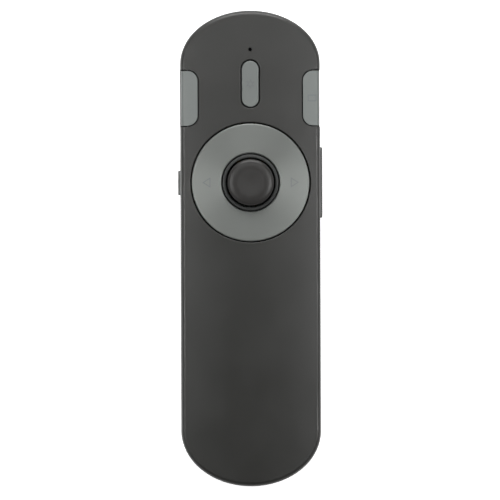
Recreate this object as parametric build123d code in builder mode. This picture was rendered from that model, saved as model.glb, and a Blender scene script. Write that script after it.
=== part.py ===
from build123d import *
import os
from math import acos, asin, cos, degrees, radians, sin, sqrt

# Hand-held wireless presentation clicker, as an assembly of separate pieces, in millimetres.
# The origin lies on the surface that the clicker rests on, under the middle of its length and width.
# +X points to the right, +Y to the nose with the laser, and +Z up, out of the key face.

# ---------------------------------------------------------------- driving dimensions
# Case
body_length = 132.0
body_width = 38.7
body_height = 24.0  # flat bottom to the highest line of the key face
nose_reach = 14.6  # depth of the half ellipse that closes the nose
tail_reach = 15.3
crown_across = 1.2  # fall of the key face from its middle line to the case side
crown_along = 1.6  # fall of the key face from mid length to either end
face_edge_radius = 1.2
belly_edge_radius = 4.8
opening_edge_radius = 0.2  # rounding of the openings in the key face
least_fillet = 0.2  # a rounding smaller than this is left sharp
nose_rise = 1.8  # how far the bottom climbs at the nose
nose_rise_run = 51.0
tail_rise = 1.5
tail_rise_run = 22.0
wall = 2.0
parting_height = 13.4
lip_height = 1.4
parting_groove = 0.3

# Clearances
seat_clearance = 0.05  # between pieces that are fixed together
running_clearance = 0.05  # radial, between a pin and its bore
key_gap = 0.35  # visible gap round a key
flange_clearance = 0.1  # between a key's flange and the ceiling that stops it
cell_clearance = 0.25  # round each battery cell
press_clearance = 0.02  # radial, round a pin pressed into its bore
screw_hole_clearance = 0.15
screw_head_clearance = 0.2
contact_slot_clearance = 0.2

# Screws
screw_radius = 1.0
screw_head_radius = 1.9
screw_head_height = 1.5
screw_drive_radius = 0.6
screw_drive_depth = 0.8
screw_drive_slot = 0.35
pilot_beyond_screw = 0.5
case_screw_length = 12.0
case_screw_seat_height = 4.6
case_screw_from_side = 6.55
nose_screw_from_end = 11.5
tail_screw_from_end = 18.0
case_boss_wall = 1.2
case_boss_meeting_height = 9.0
case_boss_gap = 0.1  # between the bosses of the two shells
counterbore_wall = 1.0
board_screw_length = 4.5
board_screw_head_radius = 1.6
board_screw_head_height = 1.0
board_post_wall = 0.9
rear_post_from_wall = 0.85
rear_post_from_tail = 56.0
nose_post_from_boss = 2.2
nose_post_from_end = 10.0

# Circuit board
board_above_parting = 0.6
board_thickness = 1.0
board_side_clearance = 0.8
board_behind_tray = 0.8
board_tongue_from_end = 7.5

# Laser
laser_axis_height = 9.5
laser_barrel_radius = 3.0
laser_barrel_length = 13.2
laser_barrel_bore = 2.2
laser_lens_thickness = 1.0
laser_lens_setback = 0.8
laser_bezel_radius = 3.5
laser_bezel_bore = 1.8
laser_bezel_length = 2.5
laser_bezel_setback = 0.25
laser_bezel_chamfer = 0.6
laser_cradle_half_width = 4.2
laser_cradle_thickness = 1.2
laser_cradle_from_end = 2.0
driver_board_length = 8.2
driver_board_width = 5.0
driver_board_thickness = 0.8

# Keys
key_travel = 0.5
key_edge_radius = 0.25
key_post_radius = 1.2
key_flange_reach = 0.85
key_flange_thickness = 0.8  # at the corner where the key face is lowest
laser_key_length = 12.8
laser_key_width = 4.65
laser_key_proud = 0.12
laser_key_from_nose = 20.4
side_key_reach = 4.72  # from the case side to the key's inner edge
side_key_length = 15.16
side_key_corner = 2.8
side_key_inset = 0.2  # the key's outer face lies this far inside the case side
side_key_wall = 2.35
side_key_from_nose = 24.33
side_key_skirt = 2.05  # height of its lower edge above the parting plane
side_key_apron = 1.25  # how far its inner wall hangs below that edge, behind the case
side_switch_from_side = 5.75
switch_body_side = 4.5
switch_body_height = 2.0
switch_button_radius = 1.1
switch_button_height = 0.8

# Status light
light_from_nose = 10.8
light_pipe_radius = 0.48
light_pipe_flange_radius = 0.95
light_pipe_flange_thickness = 0.6
led_side = 1.6
led_height = 0.8

# Navigation ring and the hoop that carries it
ring_from_nose = 47.7
rim_beside_ring = 2.67  # case left on either side of the ring's opening
ring_thickness = 2.6  # from its underside to the level of the key face's top
ring_edge_radius = 0.35
ring_pivot_drop = 1.9  # from the ring's underside to its two tilt axes
hoop_gap = 0.6
hoop_width = 1.6
hoop_height = 2.2
lug_gap = 0.4
lug_thickness = 1.0
lug_width = 3.2
lug_wall = 0.4  # under the pin's bore
pivot_pin_radius = 0.6
pivot_pin_root = 0.6  # how deep a pin starts inside the hoop
trunnion_end_gap = 0.2
plunger_radius = 1.0
plunger_from_ring_edge = 1.75
ring_switch_gap = 0.72
ring_switch_side = 3.0
ring_switch_body_height = 1.7
ring_switch_button_radius = 0.9
ring_switch_button_height = 0.6

# Joystick
collar_radius = 7.76
collar_wall = 0.86
collar_gap = 0.34  # between the collar and the ring's bore
collar_drop = 0.6  # collar's rim below the level of the key face's top
skirt_radius = 9.0
skirt_wall = 0.95
shoulder_thickness = 1.0
shoulder_above_pivot = 1.3
collar_rim_radius = 0.2
stick_pivot_above_board = 2.0
stick_housing_side = 11.0
stick_housing_wall = 0.8
stick_housing_height = 3.9
stick_housing_window_radius = 3.4
frame_length = 8.0
frame_width = 6.4
frame_wall = 0.9
frame_height = 1.4
frame_pin_radius = 0.5
frame_pin_end_gap = 0.3
yoke_length = 3.6
yoke_width = 4.2
yoke_pin_end_gap = 0.2
stem_radius = 1.0
stem_foot_gap = 0.35
press_dome_radius = 2.0
press_dome_height = 0.25
dust_dome_radius = 8.0
dust_dome_edge_radius = 6.2
dust_dome_wall = 0.6
cap_radius = 6.4
cap_height = 2.4
cap_above_face = 0.6  # cap's underside above the level of the key face's top
cap_dish_depth = 0.5
cap_top_edge_radius = 1.1
cap_bottom_edge_radius = 0.45
cap_roof_thickness = 0.8  # over the stem's end

# Side controls
side_control_height = 2.8
side_control_center_height = 10.1
side_control_corner = 0.8
side_window_gap = 0.3
side_flange_thickness = 0.6
side_flange_clearance = 0.2
side_flange_overlap = 0.8
slider_length = 6.8
slider_proud = 0.65
slider_edge_radius = 0.25
slider_grip_pitch = 1.3
slider_grip_width = 0.5
slider_grip_depth = 0.3
slider_grip_height = 1.6  # the grooves end inside the thumb piece's face
slider_grip_count = 3
slider_travel = 2.0  # each way from the middle
slider_end_gap = 0.2
slider_flange_overlap = 0.4
slider_arm_width = 1.4
slider_arm_height = 0.8
slider_arm_rise = 1.3  # from the switch's underside to the arm's middle
slider_arm_clearance = 0.2
slider_runner_gap = 0.2
slider_runner_height = 0.8
slider_runner_beyond = 0.6
lock_switch_length = 9.0
lock_switch_depth = 3.0
lock_switch_slot_depth = 1.2
lock_switch_height = 3.1
lock_switch_gap = 1.2  # from the slider's flange to the switch
rocker_length = 19.7
rocker_proud = 0.85
rocker_edge_radius = 0.4
rocker_pin_from_side = 3.55
rocker_pin_radius = 0.8
rocker_pin_seat = 2.4  # depth of the pin in its post
rocker_pin_beyond = 0.4
rocker_post_wall = 0.7
rocker_post_web = 1.2
rocker_post_gap = 0.2
rocker_lug_length = 2.7
rocker_flange_length = 7.0
volume_switch_from_pin = 7.2
volume_switch_length = 3.6
volume_switch_depth = 3.0
volume_switch_height = 4.0
volume_button_radius = 0.7
volume_button_gap = 0.4
volume_button_length = 0.5
volume_button_rise = 1.0  # from the switch's underside to the button's axis

# Power
cell_radius = 5.25
cell_length = 44.5
cell_nub_radius = 2.75
cell_nub_height = 1.0
cell_edge_radius = 0.4
cell_spacing = 0.4  # between the two cells
spring_length = 4.1
spring_wire_radius = 0.3
spring_radius = 2.9
spring_turns = 3
spring_wire_sides = 6
spring_seat = 0.24  # from the plate to the middle of the first turn's wire
contact_thickness = 0.4
contact_width = 9.4
contact_height = 9.0
contact_tab_width = 3.0
tray_wall = 1.2
tray_ceiling = 0.8
tray_from_tail = 25.1
door_thickness = 1.8
door_gap = 0.3
door_ledge = 1.3
door_ledge_thickness = 1.2
door_beyond_tray = 1.9
door_end_beyond_tray = 0.1
door_barrel_radius = 1.2
door_pin_radius = 0.6
door_pin_length = 1.0
door_pin_end_gap = 0.2
door_grip_length = 14.0
door_grip_pitch = 1.6
door_grip_depth = 0.4
door_grip_count = 4
door_grip_from_edge = 5.0

# Receiver for the computer
plug_width = 12.0
plug_height = 4.5
plug_wall = 0.35
plug_length = 12.9
plug_into_cap = 2.0
plug_window_length = 2.2
plug_window_width = 2.0
plug_window_spacing = 5.0
plug_window_from_front = 5.0
receiver_axis_height = 8.0
receiver_clearance = 0.15
receiver_cap_width = 15.0
receiver_cap_height = 6.4
receiver_cap_length = 5.8
receiver_cap_corner = 1.0
receiver_nail_length = 9.0  # groove for a fingernail in the cap's end
receiver_nail_width = 1.0
receiver_nail_depth = 1.0
tongue_thickness = 1.8
tongue_clearance = 0.1
tongue_setback = 0.4
contact_strip_thickness = 0.15
contact_strip_width = 1.1
contact_strip_pitch = 2.4
contact_strip_setback = 1.5
contact_strip_count = 4

# Parts on the board
controller_side = 6.0
controller_height = 0.9
controller_chamfer = 0.15
controller_x = 4.5
controller_from_ring = 5.0  # from the ring's opening to the controller's middle
radio_can_length = 12.0
radio_can_width = 10.0
radio_can_height = 2.0
radio_can_x = -5.0
radio_can_behind_controller = 6.0
can_corner_radius = 0.4
crystal_length = 3.2
crystal_width = 2.5
crystal_height = 0.8
crystal_behind_controller = 7.0
capacitor_length = 2.0
capacitor_width = 1.25
capacitor_x = 10.5
capacitors_behind_controller = 4.0
capacitor_pitch = 3.0
capacitor_count = 4

# ---------------------------------------------------------------- stations worked out from them
nose_end = body_length / 2
tail_end = -body_length / 2
half_width = body_width / 2
inner_half_width = half_width - wall

board_bottom = parting_height + board_above_parting
board_top = board_bottom + board_thickness
board_rear = tail_end + tray_from_tail - tray_wall - board_behind_tray

case_screw_x = half_width - case_screw_from_side
nose_screw_y = nose_end - nose_screw_from_end
tail_screw_y = tail_end + tail_screw_from_end
case_screw_points = [(s * case_screw_x, y) for s in (-1, 1) for y in (nose_screw_y, tail_screw_y)]
case_boss_radius = screw_radius + case_boss_wall
counterbore_radius = screw_head_radius + screw_head_clearance
board_post_radius = screw_radius + board_post_wall

ring_y = nose_end - ring_from_nose
ring_opening_radius = half_width - rim_beside_ring
ring_radius = ring_opening_radius - key_gap
ring_bore_radius = collar_radius + collar_gap
ring_underside = body_height - ring_thickness
ring_pivot_height = ring_underside - ring_pivot_drop
hoop_inner_radius = skirt_radius + hoop_gap
hoop_radius = hoop_inner_radius + hoop_width
lug_inner_radius = hoop_radius + lug_gap
plunger_circle_radius = ring_radius - plunger_from_ring_edge
ring_switch_height = ring_switch_body_height + ring_switch_button_height
plunger_bottom = board_top + ring_switch_height + ring_switch_gap

laser_key_y = nose_end - laser_key_from_nose
side_key_y = nose_end - side_key_from_nose
side_key_bottom = parting_height + side_key_skirt
side_switch_x = half_width - side_switch_from_side
switch_height = switch_body_height + switch_button_height
key_post_bottom = board_top + switch_height + key_travel + seat_clearance
light_y = nose_end - light_from_nose

stick_pivot_height = board_top + stick_pivot_above_board
cap_bottom = body_height + cap_above_face
stem_bottom = board_top + press_dome_height + stem_foot_gap

side_flange_outer = inner_half_width - side_flange_clearance
side_flange_inner = side_flange_outer - side_flange_thickness
side_flange_height = side_control_height + 2 * (side_window_gap + side_flange_overlap)
slider_window_half = slider_length / 2 + slider_travel + slider_end_gap
slider_flange_half = slider_window_half + slider_travel + slider_flange_overlap
slider_arm_level = board_bottom - lock_switch_height + slider_arm_rise
rocker_pin_x = half_width - rocker_pin_from_side
rocker_post_top = side_control_center_height - side_flange_height / 2 - rocker_post_gap
rocker_pin_bottom = rocker_post_top - rocker_pin_seat
rocker_pin_top = side_control_center_height + side_flange_height / 2 + rocker_pin_beyond

cell_x = cell_radius + cell_spacing / 2
tray_half_width = cell_x + cell_radius + cell_clearance
tray_rear = tail_end + tray_from_tail
tray_length = cell_length + spring_length + 2 * contact_thickness
tray_front = tray_rear + tray_length
cell_axis_height = door_thickness + cell_clearance + cell_radius
tray_ceiling_bottom = cell_axis_height + cell_radius + cell_clearance
tray_top = tray_ceiling_bottom + tray_ceiling
door_half_width = tray_half_width + door_beyond_tray
door_rear = tray_rear - tray_wall - door_end_beyond_tray
door_hinge_y = tray_front + tray_wall + door_barrel_radius + door_gap
door_hinge_height = door_barrel_radius

receiver_cap_front = tail_end + receiver_cap_length
plug_rear = receiver_cap_front - plug_into_cap
plug_front = receiver_cap_front + plug_length
pocket_front = plug_front + receiver_clearance + tray_wall

laser_bezel_front = nose_end - laser_bezel_setback
laser_barrel_front = laser_bezel_front - laser_bezel_length
laser_barrel_rear = laser_barrel_front - laser_barrel_length

board_post_points = [
    (s * x, y)
    for s in (-1, 1)
    for x, y in (
        (inner_half_width - board_post_radius - rear_post_from_wall, tail_end + rear_post_from_tail),
        (case_screw_x - case_boss_radius - board_post_radius - nose_post_from_boss,
         nose_end - nose_post_from_end),
    )
]


# ---------------------------------------------------------------- shared forms
def arc_radius(half_span, rise):
    """Radius of the arc that rises by rise over half_span, level at its middle."""
    return (half_span**2 + rise**2) / (2 * rise)


def plan_outline(inset=0.0):
    """Outline of the case from above: straight sides closed by a half ellipse at each end."""
    half = half_width - inset
    nose = nose_end - nose_reach
    tail = tail_end + tail_reach
    with BuildSketch() as outline:
        with BuildLine():
            EllipticalCenterArc((0, nose), half, nose_reach - inset, 0, arc_size=180)
            Line((-half, nose), (-half, tail))
            EllipticalCenterArc((0, tail), half, tail_reach - inset, 180, arc_size=180)
            Line((half, tail), (half, nose))
        make_face()
    return outline.sketch


def crown_top(y):
    """Height of the key face's middle line, which falls as a parabola towards both ends."""
    return body_height - crown_along * (2 * y / body_length) ** 2


def crowned_block(drop=0.0):
    """All that lies below the doubly crowned key face lowered by drop: arcs lofted along the case."""
    across = arc_radius(half_width, crown_across)
    half = 0.75 * body_width
    fall = across - sqrt(across**2 - half**2)
    stations = [body_length * share for share in (-0.55, -0.275, 0, 0.275, 0.55)]
    with BuildPart() as block:
        for y in stations:
            top = crown_top(y) - drop
            with BuildSketch(Plane(origin=(0, y, 0), x_dir=(1, 0, 0), z_dir=(0, -1, 0))):
                with BuildLine():
                    ThreePointArc((-half, top - fall), (0, top), (half, top - fall))
                    Polyline((half, top - fall), (half, -body_height), (-half, -body_height),
                             (-half, top - fall))
                make_face()
        loft()
    return block.part


def housing_form(inset=0.0):
    """Outer form of the case, moved inwards by inset on every side."""
    crown = crowned_block(inset)
    outline = plan_outline(inset)
    flat_nose = nose_end - nose_rise_run
    flat_tail = tail_end + tail_rise_run
    top = body_height + 1
    with BuildPart() as form:
        with BuildSketch(Plane.YZ):
            with BuildLine():
                Line((flat_tail, inset), (flat_nose, inset))
                TangentArc((flat_nose, inset), (nose_end, nose_rise + inset), tangent=(1, 0))
                Polyline((nose_end, nose_rise + inset), (nose_end, top), (tail_end, top),
                         (tail_end, tail_rise + inset))
                TangentArc((flat_tail, inset), (tail_end, tail_rise + inset), tangent=(-1, 0))
            make_face()
        extrude(amount=body_width, both=True)
        extrude(outline, amount=2 * body_height, mode=Mode.INTERSECT)
        add(crown, mode=Mode.INTERSECT)
        if inset < face_edge_radius - least_fillet:
            rim_level = body_height - crown_across - crown_along - inset - face_edge_radius
            fillet([e for e in form.edges() if e.bounding_box().min.Z > rim_level],
                   face_edge_radius - inset)
        if inset < belly_edge_radius - least_fillet:
            belly_level = max(nose_rise, tail_rise) + inset + least_fillet
            fillet([e for e in form.edges()
                    if e.bounding_box().max.Z < belly_level and e.bounding_box().size.Y > least_fillet],
                   belly_edge_radius - inset)
    return form.part


def facing_nose(x, y, z):
    """Plane square to the case's length, with its first axis to -X and its second up."""
    return Plane(origin=(x, y, z), x_dir=(-1, 0, 0), z_dir=(0, 1, 0))


def facing_right(x, y, z):
    """Plane square to the case's width, with its first axis to the nose and its second up."""
    return Plane(origin=(x, y, z), x_dir=(0, 1, 0), z_dir=(1, 0, 0))


def half_section(x, y):
    """Plane for the half profile of a piece turned about the vertical through x, y."""
    return Plane(origin=(x, y, 0), x_dir=(1, 0, 0), z_dir=(0, -1, 0))


def full_circles(piece, radius):
    """The piece's whole circles of one radius, from the lowest to the highest."""
    circles = piece.edges().filter_by(GeomType.CIRCLE).filter_by(lambda e: e.is_closed)
    return circles.filter_by(lambda e: abs(e.radius - radius) < 0.001).sort_by(Axis.Z)


crown = crowned_block()
flange_ceiling = crowned_block(wall + flange_clearance)
outer_plan = plan_outline()
groove_plan = plan_outline(parting_groove)
rebate_plan = plan_outline(wall / 2)
lip_plan = plan_outline(wall / 2 + seat_clearance)
inner_plan = plan_outline(wall)
board_plan = plan_outline(wall + board_side_clearance)
outer_form = housing_form()
key_form = housing_form(side_key_inset)
mid_form = housing_form(wall / 2)
key_core_form = housing_form(side_key_inset + side_key_wall)
inner_form = housing_form(wall)
flange_form = housing_form(wall + flange_clearance)

os.makedirs("parts", exist_ok=True)


# ---------------------------------------------------------------- case
def side_key_plan(side, grow=0.0):
    """Plan of a wrap-over key: a rounded rectangle centred on the case side, grown all round."""
    with BuildSketch() as plan:
        with Locations((side * half_width, side_key_y)):
            RectangleRounded(2 * (side_key_reach + grow), side_key_length + 2 * grow,
                             side_key_corner + grow)
    return plan.sketch


side_windows = [side_key_plan(side, key_gap) for side in (-1, 1)]

with BuildPart() as top_posts:
    with BuildSketch(Plane.XY.offset(case_boss_meeting_height + case_boss_gap)):
        with Locations(*case_screw_points):
            Circle(case_boss_radius)
    extrude(amount=body_height)
    with BuildSketch(Plane.XY.offset(board_top)):
        with Locations(*board_post_points):
            Circle(board_post_radius)
    extrude(amount=body_height)
    add(mid_form, mode=Mode.INTERSECT)

with BuildPart() as top_case:
    add(outer_form)
    add(inner_form, mode=Mode.SUBTRACT)
    # openings for the side keys, the ring, the laser key and the status light
    with BuildSketch(Plane.XY.offset(side_key_bottom - key_travel - flange_clearance)):
        add(side_windows)
    extrude(amount=body_height, mode=Mode.SUBTRACT)
    with BuildSketch(Plane.XY.offset(board_top)):
        with Locations((0, ring_y)):
            Circle(ring_opening_radius)
        with Locations((0, laser_key_y)):
            SlotOverall(laser_key_length + 2 * key_gap, laser_key_width + 2 * key_gap, rotation=90)
        with Locations((0, light_y)):
            Circle(light_pipe_radius + seat_clearance)
    extrude(amount=body_height, mode=Mode.SUBTRACT)
    split(bisect_by=Plane.XY.offset(parting_height), keep=Keep.TOP)
    key_face_wires = top_case.faces().sort_by(Axis.Z)[-1].inner_wires()
    fillet([e for wire in key_face_wires if wire.length > laser_key_length for e in wire.edges()],
           opening_edge_radius)
    with BuildSketch(Plane.XY.offset(parting_height - lip_height)):
        add(lip_plan)
        add(inner_plan, mode=Mode.SUBTRACT)
    extrude(amount=lip_height)
    add(top_posts.part)
    # pilot holes for the screws
    with BuildSketch(Plane.XY.offset(case_boss_meeting_height)):
        with Locations(*case_screw_points):
            Circle(screw_radius + seat_clearance)
    extrude(amount=case_screw_seat_height + case_screw_length + pilot_beyond_screw
            - case_boss_meeting_height, mode=Mode.SUBTRACT)
    with BuildSketch(Plane.XY.offset(board_top)):
        with Locations(*board_post_points):
            Circle(screw_radius + seat_clearance)
    extrude(amount=board_screw_length, mode=Mode.SUBTRACT)
    # notch in the lip over the laser's bezel
    with BuildSketch(facing_nose(0, laser_barrel_front, laser_axis_height)):
        Circle(laser_bezel_radius + seat_clearance)
    extrude(amount=nose_end, mode=Mode.SUBTRACT)
top_case.part.label = "top_case"
export_step(top_case.part, "parts/top_case.step")

with BuildPart() as bottom_furniture:
    # battery tray and the ledge round the door
    with BuildSketch(Plane.XY.offset(wall)):
        with Locations((0, (tray_rear + tray_front) / 2)):
            Rectangle(2 * (tray_half_width + tray_wall), tray_length + 2 * tray_wall)
    extrude(amount=tray_top - wall)
    ledge_rear = door_rear - door_gap - door_ledge
    ledge_front = door_hinge_y + door_barrel_radius + door_gap + door_ledge
    with BuildSketch(Plane.XY.offset(wall / 2)):
        with Locations((0, (ledge_rear + ledge_front) / 2)):
            Rectangle(2 * (door_half_width + door_gap + door_ledge), ledge_front - ledge_rear)
    extrude(amount=wall / 2 + door_ledge_thickness)
    # pocket that holds the receiver
    with BuildSketch(facing_nose(0, tail_end, 0)):
        Rectangle(receiver_cap_width + 2 * (receiver_clearance + tray_wall),
                  2 * (parting_height - lip_height - seat_clearance))
    extrude(amount=pocket_front - tail_end)
    # screw bosses
    with BuildSketch():
        with Locations(*case_screw_points):
            Circle(counterbore_radius + counterbore_wall)
    extrude(amount=case_boss_meeting_height)
    # cradles under the laser barrel
    for cradle_y in (laser_barrel_rear + laser_cradle_from_end, laser_barrel_front - laser_cradle_from_end):
        with BuildSketch(Plane((0, cradle_y, 0))):
            Rectangle(2 * laser_cradle_half_width, laser_cradle_thickness)
        extrude(amount=laser_axis_height)
    # post for the rocker's pin, with a web to the wall
    with BuildSketch(Plane((rocker_pin_x, ring_y, 0))):
        Circle(rocker_pin_radius + rocker_post_wall)
        with Locations((rocker_pin_from_side / 2, 0)):
            Rectangle(rocker_pin_from_side, rocker_post_web)
    extrude(amount=rocker_post_top)
    # runner under the slider
    runner_top = side_control_center_height - side_flange_height / 2 - slider_runner_gap
    runner_reach = wall + side_flange_clearance + side_flange_thickness + slider_runner_beyond
    with BuildSketch(Plane((-half_width + runner_reach / 2, ring_y, runner_top - slider_runner_height))):
        Rectangle(runner_reach, 2 * slider_flange_half)
    extrude(amount=slider_runner_height)
    add(mid_form, mode=Mode.INTERSECT)

with BuildPart() as bottom_case:
    add(outer_form)
    add(inner_form, mode=Mode.SUBTRACT)
    split(bisect_by=Plane.XY.offset(parting_height), keep=Keep.BOTTOM)
    # rebate for the top case's lip, and the groove that shows along the joint
    with BuildSketch(Plane.XY.offset(parting_height - lip_height - seat_clearance)):
        add(rebate_plan)
    extrude(amount=body_height, mode=Mode.SUBTRACT)
    with BuildSketch(Plane.XY.offset(parting_height - parting_groove)):
        add(outer_plan)
        add(groove_plan, mode=Mode.SUBTRACT)
    extrude(amount=body_height, mode=Mode.SUBTRACT)
    add(bottom_furniture.part)
    # space for the cells, and slots for the contact tabs
    with BuildSketch():
        with Locations((0, (tray_rear + tray_front) / 2)):
            Rectangle(2 * tray_half_width, tray_length)
    extrude(amount=tray_ceiling_bottom, mode=Mode.SUBTRACT)
    with BuildSketch(Plane((0, tray_rear, tray_ceiling_bottom - contact_slot_clearance))):
        with Locations((-cell_x, contact_thickness / 2), (cell_x, contact_thickness / 2)):
            Rectangle(contact_tab_width + 2 * contact_slot_clearance,
                      contact_thickness + contact_slot_clearance)
    extrude(amount=body_height, mode=Mode.SUBTRACT)
    # opening for the door, the hollow for its barrel, and bores for its two pins
    opening_rear = door_rear - door_gap
    opening_front = door_hinge_y + door_barrel_radius + door_gap
    with BuildSketch():
        with Locations((0, (opening_rear + door_hinge_y) / 2)):
            Rectangle(2 * (door_half_width + door_gap), door_hinge_y - opening_rear)
    extrude(amount=door_thickness + door_gap / 2, mode=Mode.SUBTRACT)
    with BuildSketch():
        with Locations((0, (door_hinge_y + opening_front) / 2)):
            Rectangle(2 * (door_half_width + door_gap), opening_front - door_hinge_y)
    extrude(amount=door_hinge_height, mode=Mode.SUBTRACT)
    with BuildSketch(facing_right(0, door_hinge_y, door_hinge_height)):
        Circle(door_barrel_radius + door_gap)
    extrude(amount=door_half_width + door_gap, both=True, mode=Mode.SUBTRACT)
    with BuildSketch(facing_right(0, door_hinge_y, door_hinge_height)):
        Circle(door_pin_radius + running_clearance)
    extrude(amount=door_half_width + door_pin_length + door_pin_end_gap, both=True, mode=Mode.SUBTRACT)
    # receiver: recess for its cap and slot for its plug
    with BuildSketch(facing_nose(0, tail_end - wall, receiver_axis_height)):
        RectangleRounded(receiver_cap_width + 2 * receiver_clearance,
                         receiver_cap_height + 2 * receiver_clearance,
                         receiver_cap_corner + receiver_clearance)
    extrude(amount=wall + receiver_cap_length + receiver_clearance, mode=Mode.SUBTRACT)
    with BuildSketch(facing_nose(0, receiver_cap_front, receiver_axis_height)):
        Rectangle(plug_width + 2 * receiver_clearance, plug_height + 2 * receiver_clearance)
    extrude(amount=plug_length + receiver_clearance, mode=Mode.SUBTRACT)
    # screw seats and holes
    with BuildSketch():
        with Locations(*case_screw_points):
            Circle(counterbore_radius)
    extrude(amount=case_screw_seat_height, mode=Mode.SUBTRACT)
    with BuildSketch():
        with Locations(*case_screw_points):
            Circle(screw_radius + screw_hole_clearance)
    extrude(amount=case_boss_meeting_height, mode=Mode.SUBTRACT)
    # laser: cradles' hollow and the hole for its bezel
    with BuildSketch(facing_nose(0, laser_barrel_rear, laser_axis_height)):
        Circle(laser_barrel_radius + seat_clearance)
    extrude(amount=laser_barrel_length, mode=Mode.SUBTRACT)
    with BuildSketch(facing_nose(0, laser_barrel_front, laser_axis_height)):
        Circle(laser_bezel_radius + seat_clearance)
    extrude(amount=nose_end, mode=Mode.SUBTRACT)
    # windows for the slider and the rocker, and the bore for the rocker's pin
    window_height = side_control_height + 2 * side_window_gap
    window_inner = inner_half_width - side_flange_clearance
    with BuildSketch(facing_right(-window_inner, ring_y, side_control_center_height)):
        Rectangle(2 * slider_window_half, window_height)
    extrude(amount=-2 * wall, mode=Mode.SUBTRACT)
    with BuildSketch(facing_right(window_inner, ring_y, side_control_center_height)):
        Rectangle(rocker_length + 2 * key_gap, window_height)
    extrude(amount=2 * wall, mode=Mode.SUBTRACT)
    with BuildSketch(Plane((rocker_pin_x, ring_y, rocker_pin_bottom))):
        Circle(rocker_pin_radius + press_clearance)
    extrude(amount=body_height, mode=Mode.SUBTRACT)
bottom_case.part.label = "bottom_case"
export_step(bottom_case.part, "parts/bottom_case.step")


def screws_from_below(points, seat_height, length, head_radius, head_height):
    """Cross-recess screws driven upwards, with their heads hanging below the seat height."""
    with BuildPart() as screws:
        with BuildSketch(Plane.XY.offset(seat_height - head_height)):
            with Locations(*points):
                Circle(head_radius)
        extrude(amount=head_height)
        with BuildSketch(Plane.XY.offset(seat_height)):
            with Locations(*points):
                Circle(screw_radius)
        extrude(amount=length)
        with BuildSketch(Plane.XY.offset(seat_height - head_height)):
            with Locations(*points):
                Rectangle(2 * screw_drive_radius, screw_drive_slot)
                Rectangle(screw_drive_slot, 2 * screw_drive_radius)
        extrude(amount=min(screw_drive_depth, head_height / 2), mode=Mode.SUBTRACT)
    return screws


case_screws = screws_from_below(case_screw_points, case_screw_seat_height, case_screw_length,
                                screw_head_radius, screw_head_height)
case_screws.part.label = "case_screws"
export_step(case_screws.part, "parts/case_screws.step")

# ---------------------------------------------------------------- circuit board
with BuildPart() as main_circuit_board:
    shoulder_y = nose_screw_y - case_boss_radius - board_side_clearance
    tongue_half_width = case_screw_x - case_boss_radius - board_side_clearance
    tongue_end = nose_end - board_tongue_from_end
    with BuildSketch(Plane.XY.offset(board_bottom)):
        with Locations((0, (board_rear + shoulder_y) / 2)):
            Rectangle(body_width, shoulder_y - board_rear)
        with Locations((0, (shoulder_y + tongue_end) / 2)):
            Rectangle(2 * tongue_half_width, tongue_end - shoulder_y)
        add(board_plan, mode=Mode.INTERSECT)
        with Locations(*board_post_points):
            Circle(screw_radius + screw_hole_clearance, mode=Mode.SUBTRACT)
    extrude(amount=board_thickness)
main_circuit_board.part.label = "main_circuit_board"
export_step(main_circuit_board.part, "parts/main_circuit_board.step")

board_screws = screws_from_below(board_post_points, board_bottom, board_screw_length,
                                 board_screw_head_radius, board_screw_head_height)
board_screws.part.label = "board_screws"
export_step(board_screws.part, "parts/board_screws.step")


def push_switches(points, side, height, button_radius, button_height):
    """Push switches on the board, each a square body with a round button."""
    with BuildPart() as switches:
        with BuildSketch(Plane.XY.offset(board_top)):
            with Locations(*points):
                Rectangle(side, side)
        extrude(amount=height)
        with BuildSketch(Plane.XY.offset(board_top + height)):
            with Locations(*points):
                Circle(button_radius)
        extrude(amount=button_height)
    return switches


key_switch_points = [(0, laser_key_y), (-side_switch_x, side_key_y), (side_switch_x, side_key_y)]
key_switches = push_switches(key_switch_points, switch_body_side, switch_body_height,
                             switch_button_radius, switch_button_height)
key_switches.part.label = "key_switches"
export_step(key_switches.part, "parts/key_switches.step")

ring_switch_points = [
    (plunger_circle_radius * cos(radians(90 * quarter)),
     ring_y + plunger_circle_radius * sin(radians(90 * quarter)))
    for quarter in range(4)
]
ring_switches = push_switches(ring_switch_points, ring_switch_side, ring_switch_body_height,
                              ring_switch_button_radius, ring_switch_button_height)
ring_switches.part.label = "ring_switches"
export_step(ring_switches.part, "parts/ring_switches.step")

controller_y = ring_y - ring_opening_radius - controller_from_ring
with BuildPart() as microcontroller:
    with BuildSketch(Plane((controller_x, controller_y, board_top))):
        Rectangle(controller_side, controller_side)
    extrude(amount=controller_height)
    chamfer(microcontroller.faces().sort_by(Axis.Z)[-1].edges(), controller_chamfer)
microcontroller.part.label = "microcontroller"
export_step(microcontroller.part, "parts/microcontroller.step")

with BuildPart() as radio_module:
    with BuildSketch(Plane((radio_can_x, controller_y - radio_can_behind_controller, board_top))):
        RectangleRounded(radio_can_width, radio_can_length, can_corner_radius)
    extrude(amount=radio_can_height)
radio_module.part.label = "radio_module"
export_step(radio_module.part, "parts/radio_module.step")

with BuildPart() as crystal:
    with BuildSketch(Plane((controller_x, controller_y - crystal_behind_controller, board_top))):
        RectangleRounded(crystal_length, crystal_width, can_corner_radius)
    extrude(amount=crystal_height)
crystal.part.label = "crystal"
export_step(crystal.part, "parts/crystal.step")

with BuildPart() as capacitors:
    with BuildSketch(Plane((capacitor_x, controller_y - capacitors_behind_controller, board_top))):
        with GridLocations(0, capacitor_pitch, 1, capacitor_count):
            Rectangle(capacitor_length, capacitor_width)
    extrude(amount=capacitor_width)
capacitors.part.label = "capacitors"
export_step(capacitors.part, "parts/capacitors.step")

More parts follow.
